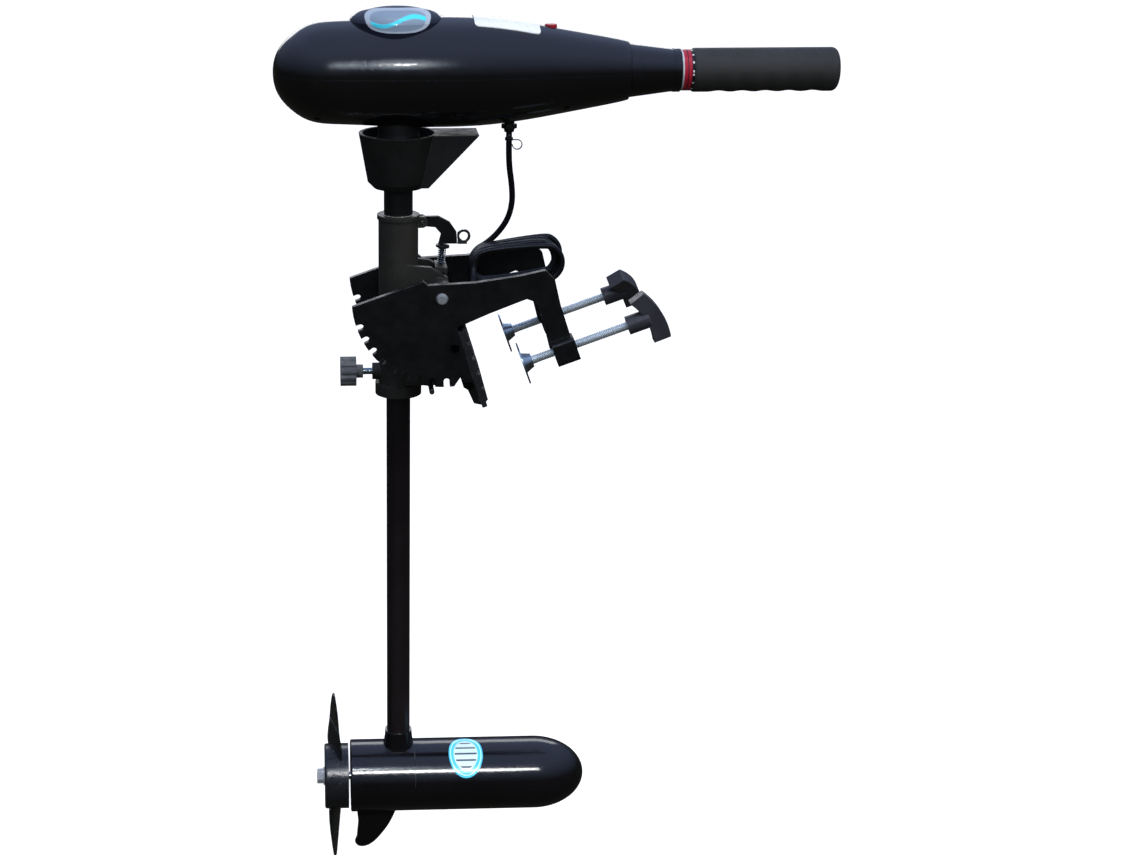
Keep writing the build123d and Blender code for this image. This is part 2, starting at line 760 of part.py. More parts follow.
with BuildPart() as head_frame:
    with BuildSketch(level(head_z - head_collar_bottom)):
        Circle(spigot_radius + head_collar_wall)
    extrude(amount=head_collar_height)
    with BuildSketch(Plane.XY.offset(head_z - switch_side / 2 - seat_gap)):
        for x in (switch_place + 4, switch_place + switch_length - 4):
            with Locations((axis_x + x, 0)):
                Rectangle(head_wall, switch_side)
    extrude(amount=-30)
    add(head_outer, mode=Mode.INTERSECT)

with BuildPart() as head_lower:
    add(head_outer)
    add(head_inner, mode=Mode.SUBTRACT)
    add(case_columns(0, -60))
    add(head_frame.part)
    split(bisect_by=Plane.XY.offset(head_z - parting_gap / 2), keep=Keep.BOTTOM)
    split(bisect_by=across(shell_end, 0), keep=Keep.BOTTOM)
    with BuildSketch(level(head_z - 80)):
        Circle(spigot_radius + seat_gap)
    extrude(amount=60, mode=Mode.SUBTRACT)
    with BuildSketch(upright(bolt_reach)):
        with Locations(ahead(0, neck_z + neck_bolt_above)):
            Circle(neck_bolt_diameter / 2 + seat_gap)
    extrude(amount=2 * bolt_reach, mode=Mode.SUBTRACT)
    with BuildSketch(Plane.XY.offset(head_z - 80)):
        with Locations((axis_x + gland_place, 0)):
            Circle(gland_hole + seat_gap)
        with Locations(*[(axis_x + x, y) for x, y in screw_places]):
            Circle(case_screw_diameter / 2 + seat_gap)
    extrude(amount=80, mode=Mode.SUBTRACT)
    with BuildSketch(Plane.XY.offset(head_z - 80)):
        with Locations(*[(axis_x + x, y) for x, y in screw_places]):
            Circle(case_screw_head / 2 + seat_gap)
    extrude(amount=80 - 22, mode=Mode.SUBTRACT)
save(head_lower.part, "head_lower")

with BuildPart() as head_upper:
    add(head_outer)
    add(head_inner, mode=Mode.SUBTRACT)
    add(case_columns(60, 0))
    split(bisect_by=Plane.XY.offset(head_z + parting_gap / 2), keep=Keep.TOP)
    split(bisect_by=across(shell_end, 0), keep=Keep.BOTTOM)
    with BuildSketch(Plane.XY.offset(head_z)):
        with Locations(*[(axis_x + x, y) for x, y in screw_places]):
            Circle(case_screw_diameter / 2 + seat_gap)
    extrude(amount=16, mode=Mode.SUBTRACT)
    with BuildSketch(Plane.XY.offset(head_z + 30)):
        with Locations((axis_x + button_place, 0)):
            Circle(button_diameter / 2 + skin_gap)
    extrude(amount=40, mode=Mode.SUBTRACT)
save(head_upper.part, "head_upper")

with BuildPart() as top_cap:
    add(cap_form.part)
    add(cap_seat, mode=Mode.SUBTRACT)
    split(bisect_by=Plane.XY.offset(head_z + 40), keep=Keep.TOP)
save(top_cap.part, "top_cap")

with BuildPart() as gauge_panel:
    with BuildSketch(Plane.XY.offset(head_z + 20)):
        with Locations((axis_x + gauge_start + gauge_length / 2, 0)):
            RectangleRounded(gauge_length, gauge_width, 5)
    extrude(amount=50)
    add(head_form(-1.3), mode=Mode.INTERSECT)
    add(cap_seat, mode=Mode.SUBTRACT)
save(gauge_panel.part, "gauge_panel")

with BuildPart() as head_screws:
    with BuildSketch(Plane.XY.offset(head_z - 30)):
        with Locations(*[(axis_x + x, y) for x, y in screw_places]):
            Circle(case_screw_diameter / 2)
    extrude(amount=30 + 14)
    with BuildSketch(Plane.XY.offset(head_z - 22)):
        with Locations(*[(axis_x + x, y) for x, y in screw_places]):
            Circle(case_screw_head / 2)
    extrude(amount=-8)
save(head_screws.part, "head_screws")

with BuildPart() as nose_collar:
    add(head_outer)
    split(bisect_by=across(shell_end + parting_gap, 0), keep=Keep.TOP)
    split(bisect_by=across(collar_end, 0), keep=Keep.BOTTOM)
    with BuildSketch(across(shell_end - 12, head_z)):
        Circle(25.5)
    extrude(amount=12 + parting_gap)
    with BuildSketch(across(collar_end - 8, head_z)):
        Circle(24.6)
    extrude(amount=8)
    with BuildSketch(across(shell_end - 12, head_z)):
        Circle(throttle_radius + running_gap)
    extrude(amount=70, mode=Mode.SUBTRACT)
save(nose_collar.part, "nose_collar")

with BuildPart() as speed_switch:
    with BuildSketch(across(switch_place, head_z)):
        RectangleRounded(switch_side, switch_side, 4)
    extrude(amount=switch_length)
    with BuildSketch(across(switch_place + switch_length, head_z)):
        Circle(14)
    extrude(amount=switch_nose)
    with BuildSketch(across(switch_shaft_start, head_z)):
        Circle(switch_shaft_radius + running_gap)
    extrude(amount=switch_length, mode=Mode.SUBTRACT)
save(speed_switch.part, "speed_switch")

with BuildPart() as power_button:
    with BuildSketch(Plane.XY.offset(head_z + button_top)):
        with Locations((axis_x + button_place, 0)):
            Circle(button_diameter / 2)
    extrude(amount=-16)
    fillet(power_button.faces().sort_by(Axis.Z)[-1].edges(), radius=1.5)
save(power_button.part, "power_button")

with BuildPart() as cable_gland:
    with BuildSketch(Plane.XY.offset(head_z + gland_foot)):
        with Locations((axis_x + gland_place, 0)):
            Circle(5.5)
    extrude(amount=4, taper=-10)
    with BuildSketch(Plane.XY.offset(head_z + gland_foot + 4)):
        with Locations((axis_x + gland_place, 0)):
            RegularPolygon(gland_radius, 6)
    extrude(amount=5)
    with BuildSketch(Plane.XY.offset(head_z + gland_foot + 9)):
        with Locations((axis_x + gland_place, 0)):
            Circle(gland_hole)
    extrude(amount=14)
save(cable_gland.part, "cable_gland")

# ---------------------------------------------------------------- tiller grip

dial_start = collar_end + skin_gap
grip_start = 334.0
grip_end = 501.0
grip_diameter = 49.6
core_radius = 19.0
grip_wall = 4.0

with BuildPart() as grip_core:
    with BuildSketch(across(throttle_start, head_z)):
        Circle(throttle_radius)
    extrude(amount=grip_start - throttle_start)
    with BuildSketch(across(grip_start, head_z)):
        Circle(core_radius)
    extrude(amount=grip_end - grip_wall - grip_start - seat_gap)
    with BuildSketch(across(switch_shaft_start + 2, head_z)):
        Circle(switch_shaft_radius)
    extrude(amount=throttle_start - switch_shaft_start - 2)
    with BuildSketch(across(grip_start + 20, head_z)):
        Circle(core_radius - 4)
    extrude(amount=grip_end - grip_start, mode=Mode.SUBTRACT)
save(grip_core.part, "grip_core")

save(bush(across(dial_start, head_z), 23.2, throttle_radius + seat_gap, grip_start - dial_start - 0.1),
     "speed_dial")

with BuildPart() as grip_sleeve:
    with BuildSketch(across(grip_start, head_z)):
        Circle(grip_diameter / 2)
    extrude(amount=grip_end - grip_start)
    fillet(grip_sleeve.faces().sort_by(Axis.X)[-1].edges(), radius=6)
    fillet(grip_sleeve.faces().sort_by(Axis.X)[0].edges(), radius=1.5)
    with BuildSketch(across(grip_start, head_z)):
        Circle(core_radius + seat_gap)
    extrude(amount=grip_end - grip_wall - grip_start, mode=Mode.SUBTRACT)
save(grip_sleeve.part, "grip_sleeve")

# ---------------------------------------------------------------- motor pod

pod_diameter = 91.0
pod_wall = 3.0
pod_rear = -61.0
pod_seam = 20.0
pod_front = 236.0
pod_shoulder = 172.0        # where the nose begins to round
joint_length = 12.0         # the rear housing's spigot in the can
motor_shaft_diameter = 10.0
bearing_radius = 13.0
bearing_length = 8.0
seal_length = 6.0
web_place = 140.0           # the can's inner web, which carries the front bearing
armature_start = 48.0
armature_length = 76.0
armature_diameter = 66.0
air_gap = 0.8
magnet_thickness = 6.0
commutator_radius = 14.0
hub_diameter = 82.0
hub_length = 30.5
hub_gap = 2.5               # between the hub and the rear housing
propeller_diameter = 229.0
blade_pitch = 18.0          # degrees at the root
pod_radius = pod_diameter / 2
motor_shaft_radius = motor_shaft_diameter / 2
skeg_thickness = 5.0
end_wall = 16.0             # of the rear housing, behind the motor
seal_ring = 1.6             # the O-ring's section
seal_place = pod_seam + joint_length / 2
tie_rod_radius = 2.5
tie_rod_place = 36.8        # from the motor's axis, in the gaps between the magnets
tie_rod_head = 4.0


def tie_rod_places():
    """The two long bolts, one each side of the motor's axis."""
    return Locations(*[(side * tie_rod_place, 0) for side in sides])


with BuildPart() as rear_housing:
    with BuildSketch(across(pod_rear, motor_z)):
        Circle(pod_radius)
    extrude(amount=pod_seam - pod_rear)
    fillet(rear_housing.faces().sort_by(Axis.X)[0].edges(), radius=2)
    with BuildSketch(across(pod_seam, motor_z)):
        Circle(pod_radius - pod_wall - seat_gap)
    extrude(amount=joint_length)
    # strut: a flared socket for the shaft
    with BuildSketch(Plane(origin=(axis_x, 0, motor_z), x_dir=(1, 0, 0), z_dir=(0, -1, 0))):
        with BuildLine():
            top = pod_radius + 20
            Polyline((0, 20), (19.6, 20), (19.6, pod_radius - 3))
            Spline((19.6, pod_radius - 3), (17.8, pod_radius + 7), (16.8, top),
                   tangents=[(-0.2, 1), (0, 1)])
            Polyline((16.8, top), (0, top), (0, 20))
        make_face()
    revolve(axis=Axis((axis_x, 0, 0), (0, 0, 1)))
    with BuildSketch(upright(skeg_thickness / 2)):
        with BuildLine():
            Polyline(
                ahead(-54, motor_z - 40), ahead(-51.5, motor_z - 66), ahead(-53.5, motor_z - 88),
                ahead(-56, motor_z - 95),
            )
            Spline(
                ahead(-56, motor_z - 95), ahead(-50, motor_z - 101.5), ahead(-40, motor_z - 100.5),
                ahead(-26, motor_z - 89), ahead(-12, motor_z - 69), ahead(0, motor_z - 40),
            )
            Line(ahead(0, motor_z - 40), ahead(-54, motor_z - 40))
        make_face()
    extrude(amount=skeg_thickness)
    # inside
    with BuildSketch(across(pod_rear + end_wall, motor_z)):
        Circle(pod_radius - pod_wall - 3)
    extrude(amount=pod_seam + joint_length - pod_rear, mode=Mode.SUBTRACT)
    with BuildSketch(across(pod_rear, motor_z)):
        Circle(motor_shaft_radius + 1.5)
    extrude(amount=20, mode=Mode.SUBTRACT)
    with BuildSketch(across(pod_rear + 1, motor_z)):
        Circle(bearing_radius + seat_gap)
    extrude(amount=20, mode=Mode.SUBTRACT)
    with BuildSketch(level(motor_z + strut_socket_depth)):
        Circle(shaft_radius + seat_gap)
    extrude(amount=60, mode=Mode.SUBTRACT)
    with BuildSketch(level(motor_z + 15)):
        Circle(shaft_radius - shaft_wall)
    extrude(amount=40, mode=Mode.SUBTRACT)
    with BuildSketch(across(seal_place - seal_ring / 2 - seat_gap, motor_z)):
        Circle(pod_radius)
        Circle(pod_radius - pod_wall - seal_ring, mode=Mode.SUBTRACT)
    extrude(amount=seal_ring + 2 * seat_gap, mode=Mode.SUBTRACT)
    with BuildSketch(across(pod_rear, motor_z)):
        with tie_rod_places():
            Circle(tie_rod_radius + seat_gap)
    extrude(amount=end_wall, mode=Mode.SUBTRACT)
    with BuildSketch(across(pod_rear, motor_z)):
        with tie_rod_places():
            Circle(tie_rod_head + seat_gap)
    extrude(amount=6, mode=Mode.SUBTRACT)
save(rear_housing.part, "rear_housing")

save(bush(across(seal_place - seal_ring / 2, motor_z), pod_radius - pod_wall - seat_gap / 2,
          pod_radius - pod_wall - seal_ring + seat_gap / 2, seal_ring), "pod_seal")


def can_form(inset):
    """The can's outline turned about the motor's axis: a tube with a half-ellipse nose."""
    radius = pod_radius - inset
    with BuildPart() as form:
        with BuildSketch(Plane(origin=(axis_x, 0, motor_z), x_dir=(1, 0, 0), z_dir=(0, -1, 0))):
            with BuildLine():
                Polyline((pod_shoulder, radius), (pod_seam, radius), (pod_seam, 0),
                         (pod_front - inset, 0))
                EllipticalCenterArc((pod_shoulder, 0), pod_front - inset - pod_shoulder, radius, arc_size=90)
            make_face()
        revolve(axis=long_axis(motor_z))
    return form.part


with BuildPart() as motor_can:
    add(can_form(0))
    add(can_form(pod_wall), mode=Mode.SUBTRACT)
    with BuildSketch(across(web_place, motor_z)):
        Circle(pod_radius - 1)
        Circle(bearing_radius + seat_gap, mode=Mode.SUBTRACT)
        with tie_rod_places():
            Circle(tie_rod_radius + seat_gap, mode=Mode.SUBTRACT)
    extrude(amount=bearing_length)
    split(bisect_by=across(pod_seam + parting_gap, 0), keep=Keep.TOP)
save(motor_can.part, "motor_can")

with BuildPart() as through_bolts:
    with BuildSketch(across(pod_rear + 2, motor_z)):
        with tie_rod_places():
            Circle(tie_rod_head)
    extrude(amount=4 - seat_gap)
    with BuildSketch(across(pod_rear + 5, motor_z)):
        with tie_rod_places():
            Circle(tie_rod_radius)
    extrude(amount=web_place + bearing_length - pod_rear - 5)
save(through_bolts.part, "through_bolts")

save(bush(across(pod_rear + 1.2, motor_z), bearing_radius, motor_shaft_radius + running_gap, seal_length),
     "shaft_seal")
rear_bearing_start = pod_rear + 1.5 + seal_length
save(bush(across(rear_bearing_start, motor_z), bearing_radius, motor_shaft_radius + running_gap,
          bearing_length), "rear_bearing")
save(bush(across(web_place, motor_z), bearing_radius, motor_shaft_radius + running_gap, bearing_length),
     "front_bearing")

magnet_inner = armature_diameter / 2 + air_gap
with BuildPart() as magnets:
    with BuildSketch(across(armature_start, motor_z)):
        Circle(magnet_inner + magnet_thickness)
        Circle(magnet_inner, mode=Mode.SUBTRACT)
        Rectangle(2 * pod_diameter, 2 * magnet_inner * 0.55, mode=Mode.SUBTRACT)
    extrude(amount=armature_length)
save(magnets.part, "magnets")

with BuildPart() as armature:
    with BuildSketch(across(armature_start, motor_z)):
        Circle(armature_diameter / 2)
        with PolarLocations(armature_diameter / 2 - 4, 12):
            Rectangle(9, 3, mode=Mode.SUBTRACT)
    extrude(amount=armature_length)
    with BuildSketch(across(armature_start - 10, motor_z)):
        Circle(armature_diameter / 2 - 6)
    extrude(amount=armature_length + 16)
    with BuildSketch(across(armature_start - 30, motor_z)):
        Circle(commutator_radius)
    extrude(amount=30)
    with BuildSketch(across(armature_start - 30, motor_z)):
        Circle(motor_shaft_radius + seat_gap)
    extrude(amount=armature_length + 60, mode=Mode.SUBTRACT)
save(armature.part, "armature")

brush_place = armature_start - 26
with BuildPart() as brush_plate:
    with BuildSketch(across(brush_place - 6, motor_z)):
        Circle(pod_radius - pod_wall - 3 - seat_gap)
        Circle(commutator_radius + 3, mode=Mode.SUBTRACT)
        with tie_rod_places():
            Circle(tie_rod_radius + seat_gap, mode=Mode.SUBTRACT)
    extrude(amount=3)
save(brush_plate.part, "brush_plate")

with BuildPart() as brushes:
    for side in sides:
        with BuildSketch(across(brush_place - 3 + seat_gap, motor_z)):
            with Locations((side * (commutator_radius + 9), 0)):
                Rectangle(16, 8)
        extrude(amount=9)
    with BuildSketch(across(brush_place - 8, motor_z)):
        Circle(commutator_radius + running_gap)
    extrude(amount=30, mode=Mode.SUBTRACT)
save(brushes.part, "brushes")

hub_front = pod_rear - hub_gap
hub_rear = hub_front - hub_length
shaft_tail = hub_rear - 10
pin_place = hub_front - 4
drive_pin_diameter = 4.0
with BuildPart() as motor_shaft:
    with BuildSketch(across(shaft_tail, motor_z)):
        Circle(motor_shaft_radius)
    extrude(amount=web_place + bearing_length - shaft_tail)
    with BuildSketch(upright(motor_shaft_radius)):
        with Locations(ahead(pin_place, motor_z)):
            Circle(drive_pin_diameter / 2 + seat_gap / 2)
    extrude(amount=motor_shaft_diameter, mode=Mode.SUBTRACT)
save(motor_shaft.part, "motor_shaft")

blade_place = hub_rear + hub_length / 2 - 2


def blade(side):
    """A blade as a loft of thin ellipses that untwist and taper towards the tip."""
    tip = propeller_diameter / 2
    root = hub_diameter / 2 - 6
    with BuildPart() as form:
        for part_way, chord, thick in [(0, 50, 7), (0.3, 56, 5.5), (0.65, 48, 4), (0.9, 32, 3), (1, 12, 2.2)]:
            reach = root + part_way * (tip - root)
            turn = radians(blade_pitch * (1 - 0.6 * part_way))
            section = Plane(
                origin=(axis_x + blade_place, 0, motor_z + side * reach),
                x_dir=(sin(turn), -side * cos(turn), 0),
                z_dir=(0, 0, 1),
            )
            with BuildSketch(section):
                Ellipse(chord / 2, thick / 2)
        loft()
    return form.part


with BuildPart() as propeller:
    with BuildSketch(across(hub_rear, motor_z)):
        Circle(hub_diameter / 2)
    extrude(amount=hub_length)
    fillet(propeller.faces().sort_by(Axis.X)[0].edges(), radius=3)
    add(blade(1))
    add(blade(-1))
    with BuildSketch(across(hub_rear + 6, motor_z)):
        Circle(hub_diameter / 2 - 5)
        Circle(14, mode=Mode.SUBTRACT)
    extrude(amount=hub_length, mode=Mode.SUBTRACT)
    with BuildSketch(across(hub_front, motor_z)):
        Circle(motor_shaft_radius + seat_gap)
    extrude(amount=-hub_length, mode=Mode.SUBTRACT)
    with BuildSketch(across(pin_place - drive_pin_diameter / 2 - seat_gap, motor_z)):
        Rectangle(27, drive_pin_diameter + 2 * seat_gap)
    extrude(amount=20, mode=Mode.SUBTRACT)
save(propeller.part, "propeller")

with BuildPart() as drive_pin:
    with BuildSketch(Plane.XZ.offset(-13)):
        with Locations(ahead(pin_place, motor_z)):
            Circle(drive_pin_diameter / 2)
    extrude(amount=26)
save(drive_pin.part, "drive_pin")

with BuildPart() as propeller_nut:
    with BuildSketch(across(hub_rear, motor_z)):
        Circle(11.5)
        Circle(motor_shaft_radius + seat_gap, mode=Mode.SUBTRACT)
    extrude(amount=-1.6)
    with BuildSketch(across(hub_rear - 1.6, motor_z)):
        RegularPolygon(9.5, 6)
        Circle(motor_shaft_radius + seat_gap, mode=Mode.SUBTRACT)
    extrude(amount=-8)
save(propeller_nut.part, "propeller_nut")

# ---------------------------------------------------------------- battery cable

# The cable's route from the gland to the coil, a list of points chosen by hand.
drop_route = [
    (axis_x + gland_place, 0, head_z + gland_foot),
    (axis_x + gland_place, 0, head_z - 89),
    (40.5, 6, 216),
    (44.5, 13, 194),
    (46.5, 20, 172),
    (42.5, 27, 150),
    (31, 33, 131),
    (19, 38, 118.5),
]
# The far end's route, from the coil's last turn to the battery rings' boot.
tail_route = [
    (1, 12, 108),
    (0.5, 10, 92),
    (0.5, -2, 79),
    (0.5, -18, 74.5),
]


def cord_path(points):
    """Straight runs with a tangent arc at each point, as wide as its two runs allow."""
    radii = []
    for before, point, after in zip(points, points[1:], points[2:]):
        a = Vector(point) - Vector(before)
        b = Vector(after) - Vector(point)
        half_turn = radians(a.get_angle(b)) / 2
        radii.append(0.45 * min(a.length, b.length) * cos(half_turn) / sin(half_turn))
    print("cord radii", [round(r, 1) for r in radii])
    return FilletPolyline(*points, radius=radii)


with BuildPart() as cable_drop:
    for points in (drop_route, tail_route):
        with BuildLine():
            route = cord_path(points)
        with BuildSketch(Plane(origin=route @ 0, z_dir=route % 0)):
            Circle(cable_diameter / 2)
        sweep(path=route)
        print("cord run", round(route.length, 1))
save(cable_drop.part, "cable_drop")

tie_z = 248.0
tie_width = 3.5
with BuildPart() as cable_tie:
    with BuildSketch(Plane.XY.offset(tie_z)):
        with Locations((axis_x + gland_place, 0)):
            Circle(cable_diameter / 2 + 1.4)
            Circle(cable_diameter / 2 + seat_gap, mode=Mode.SUBTRACT)
    extrude(amount=tie_width)
    with BuildSketch(Plane.XY.offset(tie_z - 0.75)):
        with Locations((axis_x + gland_place, -cable_diameter)):
            Rectangle(6, 4.5)
    extrude(amount=tie_width + 1.5)
    with BuildSketch(Plane.XY.offset(tie_z + tie_width / 2 - 0.5)):
        with Locations((axis_x + gland_place + 9, -cable_diameter)):
            Rectangle(14, 3.2)
    extrude(amount=1)
save(cable_tie.part, "cable_tie")

coil_turn_radius = 21.5
coil_turns = 5
coil_start_y = 5.5
coil_width = coil_turns * cable_diameter + 2
coil_back = (22.0, 95.5)    # centres of the coil's two round ends
coil_front = (79.0, 102.5)
with BuildPart() as cable_coil:
    with BuildSketch(upright(coil_start_y + coil_width)):
        with BuildLine():
            Line(coil_back, coil_front)
        for inset, mode in ((cable_diameter / 2, Mode.ADD), (-cable_diameter, Mode.SUBTRACT)):
            with Locations(
                Location(((coil_back[0] + coil_front[0]) / 2, (coil_back[1] + coil_front[1]) / 2), 7.0)
            ):
                SlotCenterToCenter(57.43, 2 * (coil_turn_radius + inset), mode=mode)
    extrude(amount=coil_width)
save(cable_coil.part, "cable_coil")

boot_length = 16.0
boot_radius = 6.0
lug_y = -43.0
lug_radius = 6.8
lug_hole = 4.2
lug_thickness = 1.6
lug_spread = 2.6
boot_x, boot_y, boot_z = tail_route[-1]
with BuildPart() as battery_lugs:
    with BuildSketch(upright(boot_y)):
        with Locations((boot_x, boot_z)):
            Circle(boot_radius)
    extrude(amount=boot_length, taper=3)
    for side in sides:
        lug_x = boot_x + side * lug_spread
        with BuildSketch(upright(boot_y - boot_length)):
            with Locations((lug_x, boot_z)):
                Circle(2.2)
        extrude(amount=boot_y - boot_length - lug_y - lug_hole - 1)
        with BuildSketch(across(lug_x - lug_thickness / 2 - axis_x, boot_z)):
            with Locations((lug_y, 0)):
                Circle(lug_radius)
                Circle(lug_hole, mode=Mode.SUBTRACT)
        extrude(amount=lug_thickness)
save(battery_lugs.part, "battery_lugs")
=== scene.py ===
import math
import bmesh
import bpy
import numpy as np
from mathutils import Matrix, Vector


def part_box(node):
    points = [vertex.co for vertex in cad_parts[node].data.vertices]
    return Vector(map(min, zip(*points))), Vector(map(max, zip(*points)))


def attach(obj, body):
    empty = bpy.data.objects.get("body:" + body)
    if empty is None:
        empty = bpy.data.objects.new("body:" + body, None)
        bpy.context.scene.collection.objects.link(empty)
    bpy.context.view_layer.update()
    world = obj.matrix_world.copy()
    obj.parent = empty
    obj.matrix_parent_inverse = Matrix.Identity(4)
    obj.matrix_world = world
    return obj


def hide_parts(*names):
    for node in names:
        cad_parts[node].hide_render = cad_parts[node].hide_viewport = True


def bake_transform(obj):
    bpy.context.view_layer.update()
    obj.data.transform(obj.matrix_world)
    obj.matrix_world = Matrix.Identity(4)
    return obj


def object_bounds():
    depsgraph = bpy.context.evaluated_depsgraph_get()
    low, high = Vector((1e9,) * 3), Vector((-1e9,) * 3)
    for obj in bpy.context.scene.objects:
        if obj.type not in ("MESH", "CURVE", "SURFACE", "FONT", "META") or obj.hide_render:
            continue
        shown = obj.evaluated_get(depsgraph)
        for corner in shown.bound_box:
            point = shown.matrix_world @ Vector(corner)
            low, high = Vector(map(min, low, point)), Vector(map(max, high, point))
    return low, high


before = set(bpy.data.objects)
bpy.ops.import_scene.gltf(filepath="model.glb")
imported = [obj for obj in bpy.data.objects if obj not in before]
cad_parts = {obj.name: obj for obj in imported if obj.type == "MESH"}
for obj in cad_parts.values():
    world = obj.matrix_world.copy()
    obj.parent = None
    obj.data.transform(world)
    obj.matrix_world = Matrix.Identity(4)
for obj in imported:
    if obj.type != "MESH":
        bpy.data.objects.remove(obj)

cad_low, cad_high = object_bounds()

# The trolling motor's outside: camera, battery cable, moulded and plated finishes, threads and grip.
# Metres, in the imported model's frame: +X into the boat, +Z up, the near side is -Y.

MM = 0.001


def middle(node):
    """The centre of a node's box."""
    low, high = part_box(node)
    return (Vector(low) + Vector(high)) / 2


def linear(hex_colour):
    """An sRGB hex colour as the linear numbers a shader takes."""
    channels = [int(hex_colour[i:i + 2], 16) / 255 for i in (1, 3, 5)]
    return [c / 12.92 if c <= 0.04045 else ((c + 0.055) / 1.055) ** 2.4 for c in channels] + [1.0]


def add(tree, kind, inputs=(), **settings):
    """Adds one shader node. A value that is a socket is linked, any other is set."""
    made = tree.nodes.new("ShaderNode" + kind)
    for key, value in settings.items():
        setattr(made, key, value)
    for key, value in dict(inputs).items():
        if isinstance(value, bpy.types.NodeSocket):
            tree.links.new(value, made.inputs[key])
        else:
            made.inputs[key].default_value = value
    return made


shaft_x = middle("shaft_tube").x
motor_z = middle("motor_can").z
head_z = middle("grip_sleeve").z

# ------------------------------------------------------------------ camera, light and floor

camera_bearing = math.radians(-2.5)
camera_pitch = math.radians(19.0)
camera_distance = 2.2724
camera_height = 1.2508      # above the motor's axis

camera = bpy.data.objects.new("camera", bpy.data.cameras.new("camera"))
bpy.context.collection.objects.link(camera)
camera.location = (
    shaft_x + camera_distance * math.sin(camera_bearing),
    -camera_distance * math.cos(camera_bearing),
    motor_z + camera_height,
)
camera.rotation_euler = (math.pi / 2 - camera_pitch, 0, camera_bearing)
camera.data.sensor_width = 36.0
camera.data.lens = 63.2
camera.data.shift_x = 0.1506
bpy.context.scene.camera = camera

floor_size = 14.0
floor = bpy.data.objects.new("floor", bpy.data.meshes.new("floor"))
bpy.context.collection.objects.link(floor)
floor_z = cad_low[2] - 0.004
floor.data.from_pydata(
    [(x * floor_size, y * floor_size, floor_z) for x, y in ((-1, -1), (1, -1), (1, 1), (-1, 1))],
    [], [(0, 1, 2, 3)],
)
floor.visible_glossy = False
floor.visible_diffuse = False

world = bpy.data.worlds.new("studio")
bpy.context.scene.world = world
world.use_nodes = True
bpy.context.scene.view_settings.view_transform = "Standard"
sky = world.node_tree
background = sky.nodes["Background"]
height = add(sky, "SeparateXYZ", {0: add(sky, "TexCoord").outputs["Generated"]}).outputs["Z"]
ramp = add(sky, "ValToRGB", {0: height})
dark_below, blue_above = (0.035, 0.035, 0.03, 1), (0.46, 0.58, 0.95, 1)
for stop, place, colour in zip((ramp.color_ramp.elements[0], ramp.color_ramp.elements[1]), (0.0, 0.75),
                               (dark_below, blue_above)):
    stop.position = place
    stop.color = colour
sky.links.new(ramp.outputs[0], background.inputs["Color"])
background.inputs["Strength"].default_value = 0.8
# The room is plain white to look at, whatever the surfaces reflect.
white = add(sky, "Background", {"Color": (1, 1, 1, 1)})
seen = add(sky, "LightPath").outputs["Is Camera Ray"]
chosen = add(sky, "MixShader", {0: seen, 1: background.outputs[0], 2: white.outputs[0]})
sky.links.new(chosen.outputs[0], sky.nodes["World Output"].inputs["Surface"])


def softbox(name, place, target, size, power, tint=(1, 1, 1), shape="RECTANGLE", mirrored=False,
            spread=180):
    """An area light that faces a point. Only a mirrored one shows in glossy surfaces. Its spread is the
    angle of its beam, in degrees."""
    lamp = bpy.data.objects.new(name, bpy.data.lights.new(name, "AREA"))
    lamp.data.shape = shape
    lamp.data.size, lamp.data.size_y = size
    lamp.data.energy = power
    lamp.data.color = tint
    lamp.data.spread = math.radians(spread)
    lamp.visible_glossy = mirrored
    lamp.visible_camera = False
    lamp.location = place
    lamp.rotation_euler = (Vector(target) - Vector(place)).to_track_quat("-Z", "Y").to_euler()
    bpy.context.collection.objects.link(lamp)


softbox("overhead", (0.2, -0.9, 2.0), (0, 0, 0.1), (1.6, 0.5), 30)
softbox("low_front", (-0.9, -1.9, -0.1), (0, 0, -0.3), (0.5, 1.2), 6)
softbox("right_fill", (1.8, -0.9, 0.9), (0.1, 0, 0.1), (0.9, 0.9), 14)
softbox("back_wall", (0.1, 2.4, 0.85), (0.1, 0, 0.1), (2.6, 0.8), 14, mirrored=True)
softbox("pod_sheen", (0.02, -0.75, -0.02), (0.02, 0, -0.567), (0.5, 0.09), 0.35, shape="ELLIPSE",
        mirrored=True, spread=50)
softbox("head_spark", (-0.12, -1.5, 0.98), (-0.05, 0, 0.33), (0.08, 0.08), 1.3, shape="DISK", mirrored=True)
softbox("head_glow", (-0.12, -1.52, 0.99), (-0.05, 0, 0.33), (0.4, 0.6), 1.4, tint=(0.7, 0.85, 1),
        shape="ELLIPSE", mirrored=True)

# ------------------------------------------------------------------ materials


def blend_in(tree, shader, mask, colour, roughness):
    """Lays a second colour and roughness over the shader's own, where the mask is 1."""
    base, gloss = shader.inputs["Base Color"], shader.inputs["Roughness"]
    mixed = add(tree, "Mix", {0: mask, 6: base.links[0].from_socket, 7: linear(colour)}, data_type="RGBA")
    tree.links.new(mixed.outputs[2], base)
    eased = add(tree, "Mix", {0: mask, 2: gloss.links[0].from_socket, 3: roughness}, data_type="FLOAT")
    tree.links.new(eased.outputs[0], gloss)


